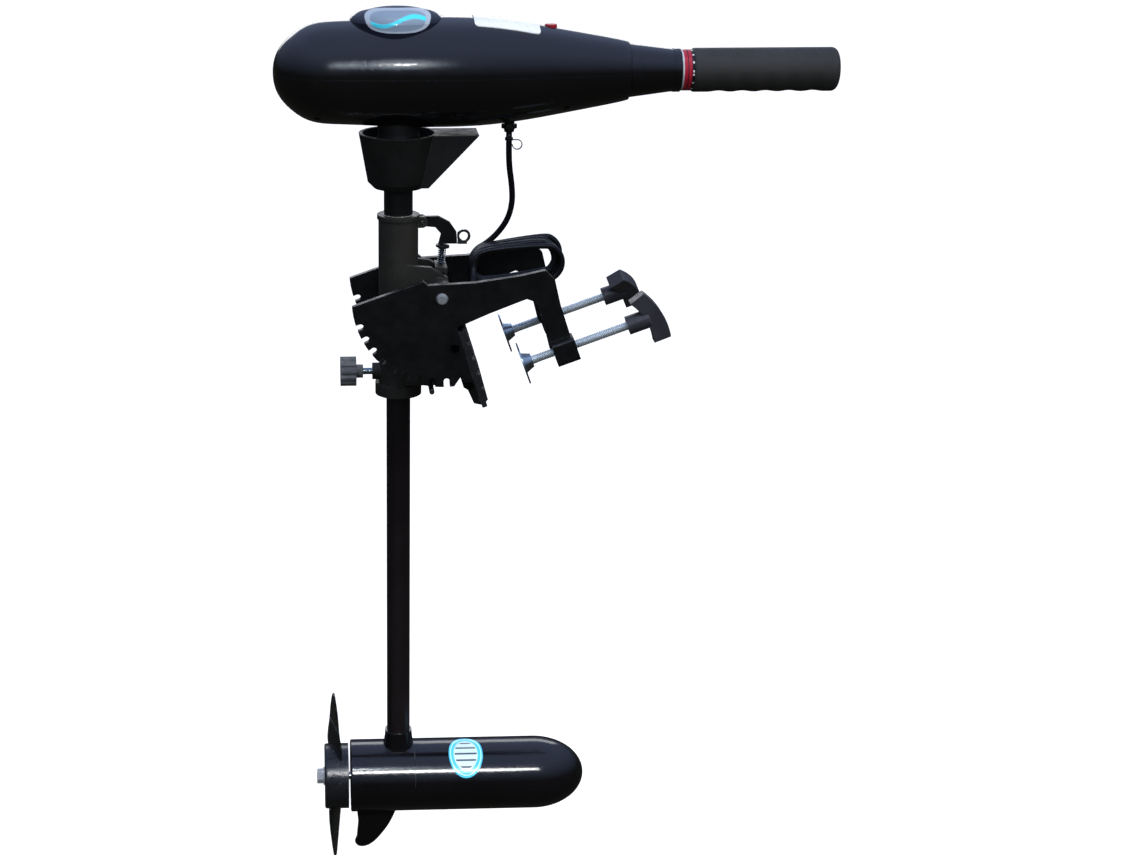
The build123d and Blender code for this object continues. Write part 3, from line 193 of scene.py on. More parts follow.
def finish(name, colour, roughness, metallic=0.0, ior=1.5, mottle=(60, 0.12), grain=(1.2, 0.02),
           stretch=(1, 1, 1), edge_wear_and_highlight=None, edge_radius=0.8, coat=0.0, smudge=0.25):
    """A finish whose colour drifts by mottle[1] over patches of mottle[0] mm, with a surface grain of
    grain[0] mm wide and grain[1] mm high, drawn out by stretch. Smudges vary the roughness by a share of
    it, and rounded edges of the given radius in mm take the edge colour in patches: rubbed wear, and on
    some finishes a painted highlight along the edges."""
    material = bpy.data.materials.new(name)
    material.use_nodes = True
    tree = material.node_tree
    shader = tree.nodes["Principled BSDF"]
    shader.inputs["Metallic"].default_value = metallic
    if not metallic:
        shader.inputs["IOR"].default_value = ior
    shader.inputs["Coat Weight"].default_value = coat
    shader.inputs["Coat Roughness"].default_value = 0.1
    place = add(tree, "TexCoord").outputs["Object"]
    drawn = add(tree, "Mapping", {"Vector": place, "Scale": stretch}).outputs[0]
    cloud = add(tree, "TexNoise", {"Vector": place, "Scale": 1 / (mottle[0] * MM), "Detail": 5.0})
    tone = add(tree, "MapRange", {0: cloud.outputs[0], 1: 0.3, 2: 0.7, 3: 1 - mottle[1], 4: 1 + mottle[1]})
    shade = add(tree, "VectorMath", {0: linear(colour)[:3], "Scale": tone.outputs[0]}, operation="SCALE")
    tree.links.new(shade.outputs[0], shader.inputs["Base Color"])
    smear = add(tree, "TexNoise", {"Vector": drawn, "Scale": 1 / (mottle[0] * 0.3 * MM), "Detail": 6.0})
    sheen = add(tree, "MapRange", {0: smear.outputs[0], 1: 0.3, 2: 0.7,
                                   3: roughness * (1 - smudge), 4: roughness * (1 + smudge)})
    tree.links.new(sheen.outputs[0], shader.inputs["Roughness"])
    rounding = add(tree, "Bevel", {"Radius": edge_radius * MM}, samples=4)
    fine = add(tree, "TexNoise", {"Vector": drawn, "Scale": 1 / (grain[0] * MM), "Detail": 3.0})
    bump = add(tree, "Bump", {"Height": fine.outputs[0], "Distance": grain[1] * MM * 4,
                              "Normal": rounding.outputs[0]})
    tree.links.new(bump.outputs[0], shader.inputs["Normal"])
    # The edge colour is rubbed wear, and on the black nylon and the grey knob it is also a painted
    # highlight along the edges.
    if edge_wear_and_highlight:
        true = add(tree, "NewGeometry").outputs["Normal"]
        match = add(tree, "VectorMath", {0: rounding.outputs[0], 1: true}, operation="DOT_PRODUCT")
        edge = add(tree, "MapRange", {0: match.outputs["Value"], 1: 0.995, 2: 0.9, 3: 0.0, 4: 1.0})
        patchy = add(tree, "MapRange", {0: smear.outputs[0], 1: 0.42, 2: 0.62})
        wear_and_highlight_patches = add(tree, "Math", {0: edge.outputs[0], 1: patchy.outputs[0]}, operation="MULTIPLY")
        soft = add(tree, "Math", {0: wear_and_highlight_patches.outputs[0], 1: 0.6}, operation="MULTIPLY")
        blend_in(tree, shader, soft.outputs[0], colour=edge_wear_and_highlight, roughness=roughness * 1.2)
    return material


def wear(material, *nodes):
    """Puts a material on every slot of the nodes."""
    for node in nodes:
        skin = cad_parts[node]
        for slot in skin.material_slots:
            slot.material = material


def axes_from(tree, centre, divide=1.0):
    """Object coordinates about a centre, as three sockets."""
    place = add(tree, "TexCoord").outputs["Object"]
    moved = add(tree, "Mapping", {"Vector": place, "Location": [-c / divide for c in centre],
                                  "Scale": (1 / divide,) * 3})
    return add(tree, "SeparateXYZ", {0: moved.outputs[0]}).outputs


def maths(tree, operation, *values):
    """One step of arithmetic on sockets or numbers."""
    return add(tree, "Math", dict(enumerate(values)), operation=operation).outputs[0]


def inside(tree, value, edge, soft):
    """1 where a value is under edge, fading out over soft."""
    return add(tree, "MapRange", {0: value, 1: edge - soft, 2: edge + soft, 3: 1.0, 4: 0.0}).outputs[0]


# Head shells: gloss black moulded ABS. The eye sees a deep, faintly blue black with a liquid sheen and
# fine dust, and the parting line as a hair-thin seam.
shell_abs = finish("abs_gloss_black_moulded", "#0c0c0d", 0.16, ior=1.54, mottle=(90, 0.25),
                   grain=(7, 0.012), edge_wear_and_highlight="#1b1e27", edge_radius=0.5, coat=0.4)
wear(shell_abs, "head_upper", "head_lower", "nose_collar")

# Top cap: the same ABS, a little bluer, with a bonded badge of grey-blue film.
cap_abs = finish("abs_gloss_navy_moulded", "#131827", 0.11, ior=1.54, mottle=(70, 0.2),
                 grain=(6, 0.01), edge_wear_and_highlight="#3a4152", edge_radius=0.5, coat=0.5)
wear(cap_abs, "top_cap")

# Motor and its housing: black gloss powder coat over aluminium, with slight orange peel and small chips
# on the edges.
pod_coat = finish("powder_coat_gloss_black", "#0b0b0d", 0.14, ior=1.52, mottle=(60, 0.2),
                  grain=(3.2, 0.02), edge_wear_and_highlight="#6d6f70", edge_radius=0.7, coat=0.35)
wear(pod_coat, "rear_housing")
can_coat = finish("powder_coat_gloss_black_badged", "#0b0b0d", 0.14, ior=1.52, mottle=(60, 0.2),
                  grain=(3.2, 0.02), edge_wear_and_highlight="#6d6f70", edge_radius=0.7, coat=0.35)
wear(can_coat, "motor_can")

# Bracket, housing and small mouldings: glass-filled nylon. Near-black with a spark-eroded grain that
# goes grey and shiny where it is rubbed. The grey on its edges is partly that wear and partly a painted
# highlight along the edges.
nylon = finish("nylon_glass_filled_black", "#0d0d0c", 0.4, ior=1.53, mottle=(35, 0.25),
               grain=(0.9, 0.03), edge_wear_and_highlight="#4c4e52", edge_radius=1.2)
wear(nylon, "side_plate_near", "side_plate_far", "cross_web", "latch_rod", "release_lever", "cable_gland",
     "speed_switch", "grip_core", "brush_plate", "thrust_bush")

# Swivel housing: the same nylon, bleached olive-grey by weather.
weathered_nylon = finish("nylon_glass_filled_weathered", "#252520", 0.5, ior=1.53, mottle=(40, 0.25),
                         grain=(1.1, 0.04), edge_wear_and_highlight="#5a5a54", edge_radius=1.2)
wear(weathered_nylon, "swivel_housing")

# Neck: the same nylon from a coarser tool, so duller.
neck_nylon = finish("nylon_matt_black_textured", "#10100d", 0.55, ior=1.53, mottle=(40, 0.2),
                    grain=(1.4, 0.05), edge_wear_and_highlight="#3e3e3a", edge_radius=1.5)
wear(neck_nylon, "neck")

# Propeller: black polycarbonate with scuffed leading edges.
blade_plastic = finish("polycarbonate_black_scuffed", "#17181a", 0.24, ior=1.58, mottle=(30, 0.25),
                       grain=(1.5, 0.02), edge_wear_and_highlight="#6a6d70", edge_radius=1.6)
wear(blade_plastic, "propeller")

# Clamp handles: dark grey nylon, satin from handling.
handle_nylon = finish("nylon_charcoal_satin", "#333338", 0.38, ior=1.53, mottle=(25, 0.2),
                      grain=(0.8, 0.03), edge_wear_and_highlight="#6b6c72", edge_radius=1.5)
wear(handle_nylon, "clamp_handle_near", "clamp_handle_far")

# Tension knob: mid-grey fluted nylon, dusty in the flutes. Its pale edges are partly that dust and partly a
# painted highlight along the edges.
knob_nylon = finish("nylon_grey_fluted", "#5d5f62", 0.5, ior=1.53, mottle=(12, 0.3),
                    grain=(0.8, 0.04), edge_wear_and_highlight="#9a9c9e", edge_radius=1.2)
wear(knob_nylon, "tension_knob", "tension_shoe")

# Shaft: pultruded composite tube in dark brown-black, with faint lengthwise fibre lines.
tube_composite = finish("composite_tube_pultruded", "#151012", 0.33, ior=1.55, mottle=(45, 0.2),
                        grain=(0.7, 0.02), stretch=(1, 1, 0.02), edge_wear_and_highlight="#3b3334")
wear(tube_composite, "shaft_tube")

# Grip: soft charcoal rubber with a fine matt skin.
grip_rubber = finish("rubber_grip_soft_charcoal", "#2b2b29", 0.6, ior=1.52, mottle=(60, 0.08),
                     grain=(0.5, 0.05), edge_wear_and_highlight="#44443f", edge_radius=2.0, smudge=0.12)

# Transom pad: moulded rubber, greyed on its ridges.
pad_rubber = finish("rubber_moulded_serrated", "#1c1c1b", 0.7, ior=1.52, mottle=(15, 0.3),
                    grain=(0.7, 0.06), edge_wear_and_highlight="#565551", edge_radius=1.5)
wear(pad_rubber, "transom_pad")

# Cable: black PVC jacket with a soft sheen.
jacket = finish("pvc_cable_jacket_black", "#0e0e10", 0.36, ior=1.53, mottle=(12, 0.25),
                grain=(0.6, 0.02))

# Clamp screws and bolts: bright zinc plate with a blue passivated cast and rubbed crests.
zinc = finish("steel_zinc_plated_blue", "#b9c8cd", 0.27, metallic=1.0, mottle=(9, 0.16),
              grain=(0.5, 0.012), edge_wear_and_highlight="#e3e6e4", edge_radius=0.6, smudge=0.4)
wear(zinc, "clamp_pad_near", "clamp_pad_far", "clamp_nuts", "tension_screw", "head_screws",
     "through_bolts")

# Pivot bolts: the same plate polished by handling, bright and plain. Their brightness is partly a painted
# reflection: a near-white base that is only partly metallic.
bright_zinc = finish("steel_zinc_plated_bright", "#dadfdf", 0.38, metallic=0.8, mottle=(6, 0.06),
                     grain=(0.6, 0.004), smudge=0.15)
wear(bright_zinc, "pivot_bolts")

# Clamp screws' rolled threads: the same plate, smooth from the rollers. Their near-white base, only partly
# metallic, is a painted reflection, so the crests run together into a pale even rod.
rolled_zinc = finish("steel_zinc_rolled_thread", "#e2ecee", 0.42, metallic=0.7, mottle=(14, 0.06),
                     grain=(0.8, 0.003), smudge=0.15)

# Tie and neck bolts: black-oxided steel, dull with brighter corners.
black_steel = finish("steel_black_oxide", "#1e1f21", 0.4, metallic=1.0, mottle=(7, 0.2),
                     grain=(0.5, 0.02), edge_wear_and_highlight="#6b6e71", edge_radius=0.6)
wear(black_steel, "tie_bolts", "neck_bolt")

# Pins, ring and motor shaft: turned stainless steel, with lines round them.
stainless = finish("steel_stainless_turned", "#b3b5b6", 0.24, metallic=1.0, mottle=(8, 0.1),
                   grain=(0.3, 0.01), stretch=(1, 0.05, 1), edge_wear_and_highlight="#dcdddc", edge_radius=0.4)
wear(stainless, "lock_pin", "lever_pin", "pull_ring", "motor_shaft", "drive_pin", "rear_bearing",
     "front_bearing")

# Propeller nut: pale grey nylon-coated casting.
nut_grey = finish("nylon_pale_grey", "#b4b8ba", 0.45, ior=1.53, mottle=(10, 0.15), grain=(0.6, 0.03),
                  edge_wear_and_highlight="#d8dadb", edge_radius=0.8)
wear(nut_grey, "propeller_nut")

# Liners: natural acetal, milky white and waxy.
acetal = finish("acetal_natural_white", "#cfcbbf", 0.4, ior=1.48, mottle=(20, 0.06), grain=(0.8, 0.01))
wear(acetal, "upper_liner", "lower_liner")

# Power button: red moulded plastic.
button_red = finish("abs_red_moulded", "#8f1b26", 0.3, ior=1.54, mottle=(6, 0.15), grain=(0.8, 0.02),
                    edge_wear_and_highlight="#c4606a", edge_radius=0.8)
wear(button_red, "power_button")

# Gauge panel: white printed film with a row of charge lamps in a dark window.
film = finish("vinyl_film_white_printed", "#dfe2e1", 0.3, ior=1.5, mottle=(30, 0.05), grain=(1.0, 0.006))
wear(film, "gauge_panel")

# Speed dial: bands of bright, red and black plastic, with white marks on the black one.
dial = finish("abs_dial_black", "#121213", 0.3, ior=1.54, mottle=(10, 0.15), grain=(0.6, 0.02))
wear(dial, "speed_dial")

# Motor's insides: ground ferrite, stacked iron sheets, graphite and nitrile rubber.
ferrite = finish("ferrite_ground", "#2f3032", 0.5, ior=2.2, mottle=(6, 0.2), grain=(0.4, 0.02))
wear(ferrite, "magnets")
iron = finish("iron_laminations", "#6a6561", 0.4, metallic=1.0, mottle=(6, 0.2), grain=(0.5, 0.05),
              stretch=(1, 0.02, 0.02))
wear(iron, "armature")
graphite = finish("graphite_copper_brush", "#3d322c", 0.5, metallic=1.0, mottle=(3, 0.3), grain=(0.3, 0.03))
wear(graphite, "brushes")
nitrile = finish("rubber_nitrile", "#121212", 0.6, ior=1.52, mottle=(6, 0.2), grain=(0.4, 0.02))
wear(nitrile, "pod_seal", "shaft_seal")

# Battery rings: tinned brass terminals on a black boot.
tinned = finish("brass_tinned", "#b8ab86", 0.3, metallic=1.0, mottle=(4, 0.2), grain=(0.3, 0.01),
                edge_wear_and_highlight="#c9a45a", edge_radius=0.5)
wear(tinned, "battery_lugs")

# Badge on the top cap's near side: a rounded shield of grey-blue film with one pale cyan sweep.
tree = cap_abs.node_tree
shader = tree.nodes["Principled BSDF"]
cap_low, cap_high = (Vector(v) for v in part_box("top_cap"))
badge_half = (0.036, 0.0125)
badge_taper = 9.0           # how much narrower the badge is per metre down it, as a share
badge_x, badge_z = (cap_low.x + cap_high.x) / 2 + 0.001, cap_high.z - 0.0145
x, y, z = axes_from(tree, (badge_x, 0, badge_z))
width = maths(tree, "MULTIPLY_ADD", z, badge_taper, 1.0)
reach = maths(tree, "DIVIDE", maths(tree, "DIVIDE", x, badge_half[0]), width)
across = maths(tree, "POWER", maths(tree, "ABSOLUTE", reach), 3.0)
down = maths(tree, "POWER", maths(tree, "ABSOLUTE", maths(tree, "DIVIDE", z, badge_half[1])), 3.0)
round_box = maths(tree, "ADD", across, down)
near = inside(tree, y, -0.004, 0.001)
badge = maths(tree, "MULTIPLY", inside(tree, round_box, 1.0, 0.03), near)
core = maths(tree, "MULTIPLY", inside(tree, round_box, 0.62, 0.03), near)
blend_in(tree, shader, badge, colour="#a3afbc", roughness=0.3)
blend_in(tree, shader, core, colour="#7b8c9e", roughness=0.3)
wave = maths(tree, "MULTIPLY", maths(tree, "SINE", maths(tree, "MULTIPLY", x, 90.0)), 0.005)
sweep_line = maths(tree, "SUBTRACT", z, wave)
sweep = maths(tree, "MULTIPLY", inside(tree, maths(tree, "ABSOLUTE", sweep_line), 0.0022, 0.0004), core)
blend_in(tree, shader, sweep, colour="#46d3ea", roughness=0.25)

# Badge on the motor's near side: an upright oval of cyan film with a pale middle and three plain bars.
tree = can_coat.node_tree
shader = tree.nodes["Principled BSDF"]
can_low, can_high = (Vector(v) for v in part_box("motor_can"))
oval_x = can_low.x + 0.064
oval_half = (0.0215, 0.0315)
can_radius = 0.0455
oval_rise = 0.048           # how far up round the can the oval's middle is from its nearest line
x, y, z = axes_from(tree, (oval_x, 0, motor_z))
around = maths(tree, "MULTIPLY", maths(tree, "ARCTAN2", z, maths(tree, "MULTIPLY", y, -1.0)), can_radius)
turned = maths(tree, "SUBTRACT", around, oval_rise)
oval = maths(tree, "ADD", maths(tree, "POWER", maths(tree, "DIVIDE", x, oval_half[0]), 2.0),
             maths(tree, "POWER", maths(tree, "DIVIDE", turned, oval_half[1]), 2.0))
blend_in(tree, shader, inside(tree, oval, 1.0, 0.03), colour="#3fc5e8", roughness=0.28)
ring = inside(tree, maths(tree, "ABSOLUTE", maths(tree, "SUBTRACT", oval, 0.8)), 0.04, 0.02)
blend_in(tree, shader, ring, colour="#d9f2f6", roughness=0.28)
bars = inside(tree, maths(tree, "ABSOLUTE", maths(tree, "PINGPONG", turned, 0.0045)), 0.0012, 0.0003)
middle_oval = inside(tree, oval, 0.42, 0.02)
blend_in(tree, shader, inside(tree, oval, 0.5, 0.03), colour="#cfe2e2", roughness=0.28)
blend_in(tree, shader, maths(tree, "MULTIPLY", bars, middle_oval), colour="#1d3c4a", roughness=0.28)

# The speed dial's bands, told apart by their place along the tiller, and its marks, one each 25 degrees.
tree = dial.node_tree
shader = tree.nodes["Principled BSDF"]
dial_low, dial_high = (Vector(v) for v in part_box("speed_dial"))
x, y, z = axes_from(tree, (dial_low.x, 0, head_z))
blend_in(tree, shader, inside(tree, x, 0.0108, 0.0001), colour="#9c1b2e", roughness=0.3)
groove = inside(tree, maths(tree, "ABSOLUTE", maths(tree, "SUBTRACT", x, 0.0065)), 0.0005, 0.0001)
blend_in(tree, shader, groove, colour="#2a1216", roughness=0.5)
blend_in(tree, shader, inside(tree, x, 0.0020, 0.0001), colour="#aeb4b8", roughness=0.25)
turn = maths(tree, "ARCTAN2", z, y)
mark_step = math.radians(25)
mark = inside(tree, maths(tree, "PINGPONG", turn, mark_step / 2), 0.05, 0.01)
on_black = maths(tree, "MULTIPLY", maths(tree, "GREATER_THAN", x, 0.0115),
                 maths(tree, "LESS_THAN", x, 0.0145))
blend_in(tree, shader, maths(tree, "MULTIPLY", mark, on_black), colour="#d6d6d2", roughness=0.4)

# The gauge's window and lamps: green, in a row, one each 8 mm.
tree = film.node_tree
shader = tree.nodes["Principled BSDF"]
x, y, z = axes_from(tree, middle("gauge_panel"))
off_row = maths(tree, "ADD", y, -0.006)
wide = maths(tree, "POWER", maths(tree, "ABSOLUTE", maths(tree, "DIVIDE", x, 0.022)), 8.0)
deep = maths(tree, "POWER", maths(tree, "ABSOLUTE", maths(tree, "DIVIDE", off_row, 0.006)), 8.0)
window = inside(tree, maths(tree, "ADD", wide, deep), 1.0, 0.1)
blend_in(tree, shader, window, colour="#20262c", roughness=0.15)
lamp_x = maths(tree, "PINGPONG", x, 0.004)
from_lamp = maths(tree, "SQRT", maths(tree, "ADD", maths(tree, "POWER", lamp_x, 2.0),
                                      maths(tree, "POWER", off_row, 2.0)))
lamp = inside(tree, from_lamp, 0.0015, 0.0003)
blend_in(tree, shader, maths(tree, "MULTIPLY", lamp, window), colour="#63c08a", roughness=0.2)

# Floor: matt white board, evenly lit.
floor_paint = bpy.data.materials.new("studio_floor")
floor_paint.use_nodes = True
for socket, value in (("Base Color", (0.3, 0.3, 0.3, 1)), ("Roughness", 0.9),
                      ("Emission Color", (1, 1, 1, 1)), ("Emission Strength", 0.97)):
    floor_paint.node_tree.nodes["Principled BSDF"].inputs[socket].default_value = value
floor.data.materials.append(floor_paint)

# ------------------------------------------------------------------ pieces


def surface(name, points, material, loop_rows=False, loop_columns=False):
    """A quad mesh from a grid of points, rows by columns by xyz, closed along either way if asked. A tube
    that is open along its rows gets a face over each end. The faces are turned to point outwards, which
    they do where the sum over them of corner . (corner x corner) is above zero."""
    rows, columns = points.shape[:2]
    index = np.arange(rows * columns).reshape(rows, columns)
    ends = [] if loop_rows else [index[0, ::-1].tolist(), index[-1].tolist()]
    if loop_rows:
        index = np.vstack([index, index[:1]])
    if loop_columns:
        index = np.hstack([index, index[:, :1]])
    quads = np.stack([index[:-1, :-1], index[:-1, 1:], index[1:, 1:], index[1:, :-1]], axis=-1)
    quads = quads.reshape(-1, 4)
    corners = points.reshape(-1, 3) - points.reshape(-1, 3).mean(axis=0)
    a, b, c, d = (corners[quads[:, i]] for i in range(4))
    volume = np.sum(a * np.cross(b, c)) + np.sum(a * np.cross(c, d))
    faces = quads.tolist() + ends
    if volume < 0:
        faces = [face[::-1] for face in faces]
    mesh = bpy.data.meshes.new(name)
    mesh.from_pydata(points.reshape(-1, 3).tolist(), [], faces)
    mesh.shade_smooth()
    mesh.materials.append(material)
    piece = bpy.data.objects.new(name, mesh)
    bpy.context.collection.objects.link(piece)
    return piece


# The battery cable. It drops from the gland, enters the coil at its far side, goes round five times
# towards the near side, and turns off the last one to its rings.
cable_diameter = 0.007
cable_drop = [
    (0.039, 0, 0.258), (0.039, 0, 0.238), (0.0405, 0.006, 0.216), (0.0445, 0.013, 0.194),
    (0.0465, 0.020, 0.172), (0.0425, 0.027, 0.150), (0.031, 0.033, 0.131),
]
cable_tail = [
    (0.016, 0.0115, 0.1165), (0.0030, 0.0108, 0.109), (0.0005, 0.010, 0.092), (0.0005, -0.002, 0.079),
    (0.0005, -0.018, 0.0745),
]
coil_back, coil_front = np.array([0.022, 0.0955]), np.array([0.079, 0.1025])
coil_radius = 0.0215
coil_first, coil_last = 0.0375, 0.0125
half_steps = 7              # points on each half turn, a little outside its arc because the spline cuts in
outside_arc = 1.04
# each turn's front end: how far it stands out, and how far it hangs or rises
coil_fan = [(0.004, 0.004), (-0.002, 0.002), (0.003, -0.002), (-0.004, 0.001), (0.005, -0.003)]


def coil_points():
    """Round the back end from the top, along the bottom, up round the front end and back, turn by turn."""
    places = []
    for turn, (out, rise) in enumerate(coil_fan):
        ends = [(coil_back, math.pi / 2, 0, 0), (coil_front, -math.pi / 2, out, rise)]
        for half, (centre, start, shift_x, shift_z) in enumerate(ends):
            for step in range(half_steps):
                angle = start + math.pi * (step + 0.5) / half_steps
                part = (turn + (half + (step + 0.5) / half_steps) / 2) / len(coil_fan)
                places.append((
                    centre[0] + shift_x + coil_radius * outside_arc * math.cos(angle),
                    coil_first + (coil_last - coil_first) * part,
                    centre[1] + shift_z + coil_radius * outside_arc * math.sin(angle),
                ))
    return places


route = cable_drop + coil_points() + cable_tail
curve = bpy.data.curves.new("cable_route", "CURVE")
curve.dimensions = "3D"
curve.resolution_u = 6
spline = curve.splines.new("NURBS")
spline.points.add(len(route) - 1)
for point, place in zip(spline.points, route):
    point.co = (*place, 1)
spline.order_u = 3
spline.use_endpoint_u = True
guide = bpy.data.objects.new("cable_route", curve)
bpy.context.collection.objects.link(guide)
line = bpy.data.meshes.new_from_object(guide)
curve.bevel_depth = cable_diameter / 2
curve.bevel_resolution = 4
curve.use_fill_caps = True
cable_mesh = bpy.data.meshes.new_from_object(guide)
# its end caps come loose from the tube, so their doubles are merged
welded = bmesh.new()
welded.from_mesh(cable_mesh)
bmesh.ops.remove_doubles(welded, verts=welded.verts, dist=2e-6)
welded.to_mesh(cable_mesh)
welded.free()
cable_mesh.shade_smooth()
cable_mesh.materials.clear()
cable_mesh.materials.append(jacket)
bpy.data.objects.remove(guide)
cable = bpy.data.objects.new("battery_cable", cable_mesh)
bpy.context.collection.objects.link(cable)
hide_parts("cable_drop", "cable_coil")
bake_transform(cable)

# The tie below the gland: a band drawn tight round the cable, its square head, and the strap's free end
# curled over in front.
strap_wide, strap_thick = 0.0036, 0.0011
tie_place = np.array([cable_drop[0][0], cable_drop[0][1], middle("cable_tie").z])
tie_head = tie_place + [0, -cable_diameter / 2 - 0.0025, 0]


def rounded(wave, power):
    """A sine or cosine drawn towards a square wave: its size to a power under 1, with its sign kept."""
    return np.sign(wave) * np.abs(wave) ** power


def strap(name, path, inward, closed=False):
    """A strap carried along a path: at each point a rounded oblong section, strap_wide across and
    strap_thick through, whose through way points inward."""
    around = np.linspace(0, 2 * math.pi, 16, endpoint=False)
    out = np.roll(path, -1, axis=0) - np.roll(path, 1, axis=0) if closed else np.gradient(path, axis=0)
    out /= np.linalg.norm(out, axis=1)[:, None]
    wide = np.cross(out, inward)
    rings = (path[:, None, :]
             + strap_wide / 2 * rounded(np.cos(around), 0.5)[None, :, None] * wide[:, None, :]
             + strap_thick / 2 * rounded(np.sin(around), 0.5)[None, :, None] * inward[:, None, :])
    return surface(name, rings, nylon, loop_rows=closed, loop_columns=True)


turn = np.linspace(0, 2 * math.pi, 48, endpoint=False)[:, None]
towards = np.hstack([-np.cos(turn), -np.sin(turn), 0 * turn])
band_radius = cable_diameter / 2 + strap_thick / 2 + 0.0001
band = strap("cable_tie_band", tie_place - towards * band_radius, towards, closed=True)
# the free end goes forward from the head and curls down through three quarters of a circle
bend = np.linspace(math.pi / 2, -math.pi, 40)[:, None]
curl_radius = 0.0055
curl = np.hstack([0.009 + curl_radius * np.cos(bend), 0 * bend, curl_radius * np.sin(bend)])
run = np.linspace([0.001, 0, curl_radius], [0.009, 0, curl_radius], 8)[:-1]
free = np.vstack([run, curl])
slope = np.gradient(free, axis=0)
slope /= np.linalg.norm(slope, axis=1)[:, None]
tail = strap("cable_tie_tail", tie_head - [0, 0, curl_radius] + free, np.cross(slope, [0, 1.0, 0]))
# the head is a rounded block: a superellipsoid, 5 by 4 by 5 mm
lift = np.linspace(-math.pi / 2, math.pi / 2, 17)[:, None]
spin = np.linspace(0, 2 * math.pi, 32, endpoint=False)
level, rise = rounded(np.cos(lift), 0.35), rounded(np.sin(lift), 0.35)
block = np.stack([0.0025 * level * rounded(np.cos(spin), 0.35), 0.002 * level * rounded(np.sin(spin), 0.35),
                  0.0025 * rise * np.ones_like(spin)], axis=-1)
head = surface("cable_tie_head", block + tie_head, nylon, loop_columns=True)
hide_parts("cable_tie")
for piece in (band, tail, head):
    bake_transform(piece)

# Grip: a turned sleeve with a rolled end and shallow finger rests moulded along its underside.
grip_low, grip_high = (Vector(v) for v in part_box("grip_sleeve"))
grip_radius = (grip_high.z - grip_low.z) / 2
grip_length = grip_high.x - grip_low.x
rest_start, rest_pitch, rest_count, rest_depth = 0.018, 0.027, 5, 0.0013
front_round, end_round = 0.003, 0.007
bore_radius, front_radius = 0.009, 0.0195
along = np.concatenate([np.linspace(0, front_round, 6)[:-1],
                        np.linspace(front_round, grip_length - end_round, 120)[:-1],
                        grip_length - end_round + end_round * np.sin(np.linspace(0, math.pi / 2, 12))])
angle = np.linspace(0, 2 * math.pi, 96, endpoint=False)
shoulder = np.clip((along - (grip_length - end_round)) / end_round, 0, 1)
profile = (grip_radius - end_round + end_round * np.sqrt(1 - shoulder**2)
           - 0.0012 * np.clip(1 - along / front_round, 0, 1) ** 2)
under = np.clip(-np.sin(angle), 0, 1) ** 0.6
rested = (along > rest_start) * (along < rest_start + rest_count * rest_pitch)
rest = (0.5 - 0.5 * np.cos(2 * math.pi * (along - rest_start) / rest_pitch)) * rested
radius = profile[:, None] - rest_depth * rest[:, None] * under[None, :]
skin = np.stack([np.broadcast_to((grip_low.x + along)[:, None], radius.shape),
                 -radius * np.cos(angle), head_z + radius * np.sin(angle)], axis=-1)
inner = np.array([[grip_high.x, -r * math.cos(a), head_z + r * math.sin(a)]
                  for r in (bore_radius, 0.0001) for a in angle])
face = np.array([[grip_low.x, -front_radius * math.cos(a), head_z + front_radius * math.sin(a)]
                 for a in angle])
skin = np.concatenate([face[None], skin, inner.reshape(2, -1, 3)])
grip = surface("grip_sleeve_moulded", skin, grip_rubber, loop_columns=True)
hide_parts("grip_sleeve")
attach(grip, "throttle")

# Clamp screws: rolled trapezoid threads between a plain foot and a plain tail under the handle.
screw_rise = math.radians(20)
thread_pitch, thread_depth = 0.002, 0.0006
plain_foot, plain_tail = 0.012, 0.016


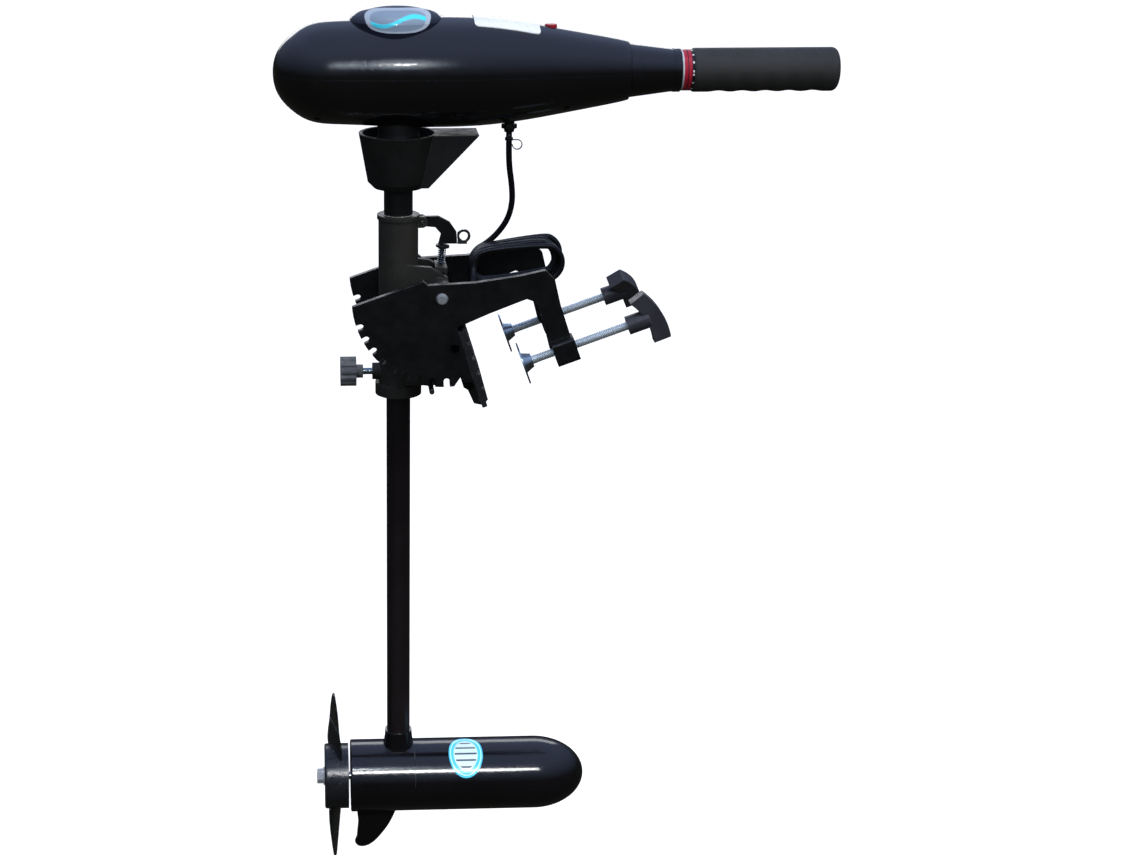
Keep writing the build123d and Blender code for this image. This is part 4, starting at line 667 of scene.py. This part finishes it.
def threaded_rod(name, node, body):
    """A rod along a leaning axis, whose radius falls by thread_depth in a rounded groove that advances
    one pitch each turn, and stays plain near both ends."""
    low, high = (Vector(v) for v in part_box(node))
    half = (high.y - low.y) / 2
    lean = np.array([math.cos(screw_rise), 0, math.sin(screw_rise)])
    side = np.array([0, 1.0, 0])
    up = np.cross(lean, side)
    start = np.array([low.x + half * math.sin(screw_rise), (low.y + high.y) / 2,
                      low.z + half * math.cos(screw_rise)])
    length = (high.x - low.x - 2 * half * math.sin(screw_rise)) / math.cos(screw_rise)
    along = np.arange(0, length, thread_pitch / 6)
    angle = np.linspace(0, 2 * math.pi, 28, endpoint=False)
    phase = (along[:, None] / thread_pitch - angle[None, :] / (2 * math.pi)) % 1.0
    groove = np.clip(1.3 * np.cos(2 * math.pi * phase) + 0.4, 0, 1)
    plain = (np.clip((along - plain_foot) / thread_pitch, 0, 1)
             * np.clip((length - plain_tail - along) / thread_pitch, 0, 1))
    radius = half - thread_depth * groove * plain[:, None]
    tip = np.clip(along / 0.001, 0.85, 1)[:, None]
    ring = (start + along[:, None, None] * lean + (radius * tip * np.cos(angle))[..., None] * side
            + (radius * tip * np.sin(angle))[..., None] * up)
    point = 0.00005 * (np.cos(angle)[:, None] * side + np.sin(angle)[:, None] * up)
    ends = [(start + lean * s + point)[None] for s in (0, length)]
    rod = surface(name, np.concatenate([ends[0], ring, ends[1]]), rolled_zinc, loop_columns=True)
    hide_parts(node)
    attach(rod, body)


threaded_rod("clamp_thread_near", "clamp_screw_near", "near_screw")
threaded_rod("clamp_thread_far", "clamp_screw_far", "far_screw")

# Latch spring: a bright round wire wound on a helix that stands where its plain solid is.
spring_low, spring_high = (Vector(v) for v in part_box("latch_spring"))
lean = math.asin(0.1015)
spring_axis = np.array([math.sin(lean), 0, math.cos(lean)])
outer = (spring_high.y - spring_low.y) / 2
wire = 0.0006
spring_turns = 8
spring_length = (spring_high.z - spring_low.z - 2 * outer * math.sin(lean)) / math.cos(lean)
foot = np.array(middle("latch_spring")) - spring_axis * spring_length / 2
t = np.linspace(0, 1, spring_turns * 24)
out_a = np.cross(np.array([0, 1.0, 0]), spring_axis)
out_b = np.array([0, 1.0, 0])
spin = 2 * math.pi * spring_turns * t
radial = np.cos(spin)[:, None] * out_a + np.sin(spin)[:, None] * out_b
centre = foot + (wire + t * (spring_length - 2 * wire))[:, None] * spring_axis + (outer - wire) * radial
a = np.linspace(0, 2 * math.pi, 8, endpoint=False)
tube = centre[:, None, :] + wire * (np.cos(a)[None, :, None] * radial[:, None, :]
                                    + np.sin(a)[None, :, None] * spring_axis)
spring_steel = finish("steel_spring_wire", "#8c9299", 0.3, metallic=1.0, mottle=(5, 0.15),
                      grain=(0.3, 0.01))
spring = surface("latch_spring_wire", tube, spring_steel, loop_columns=True)
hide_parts("latch_spring")
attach(spring, "carriage")
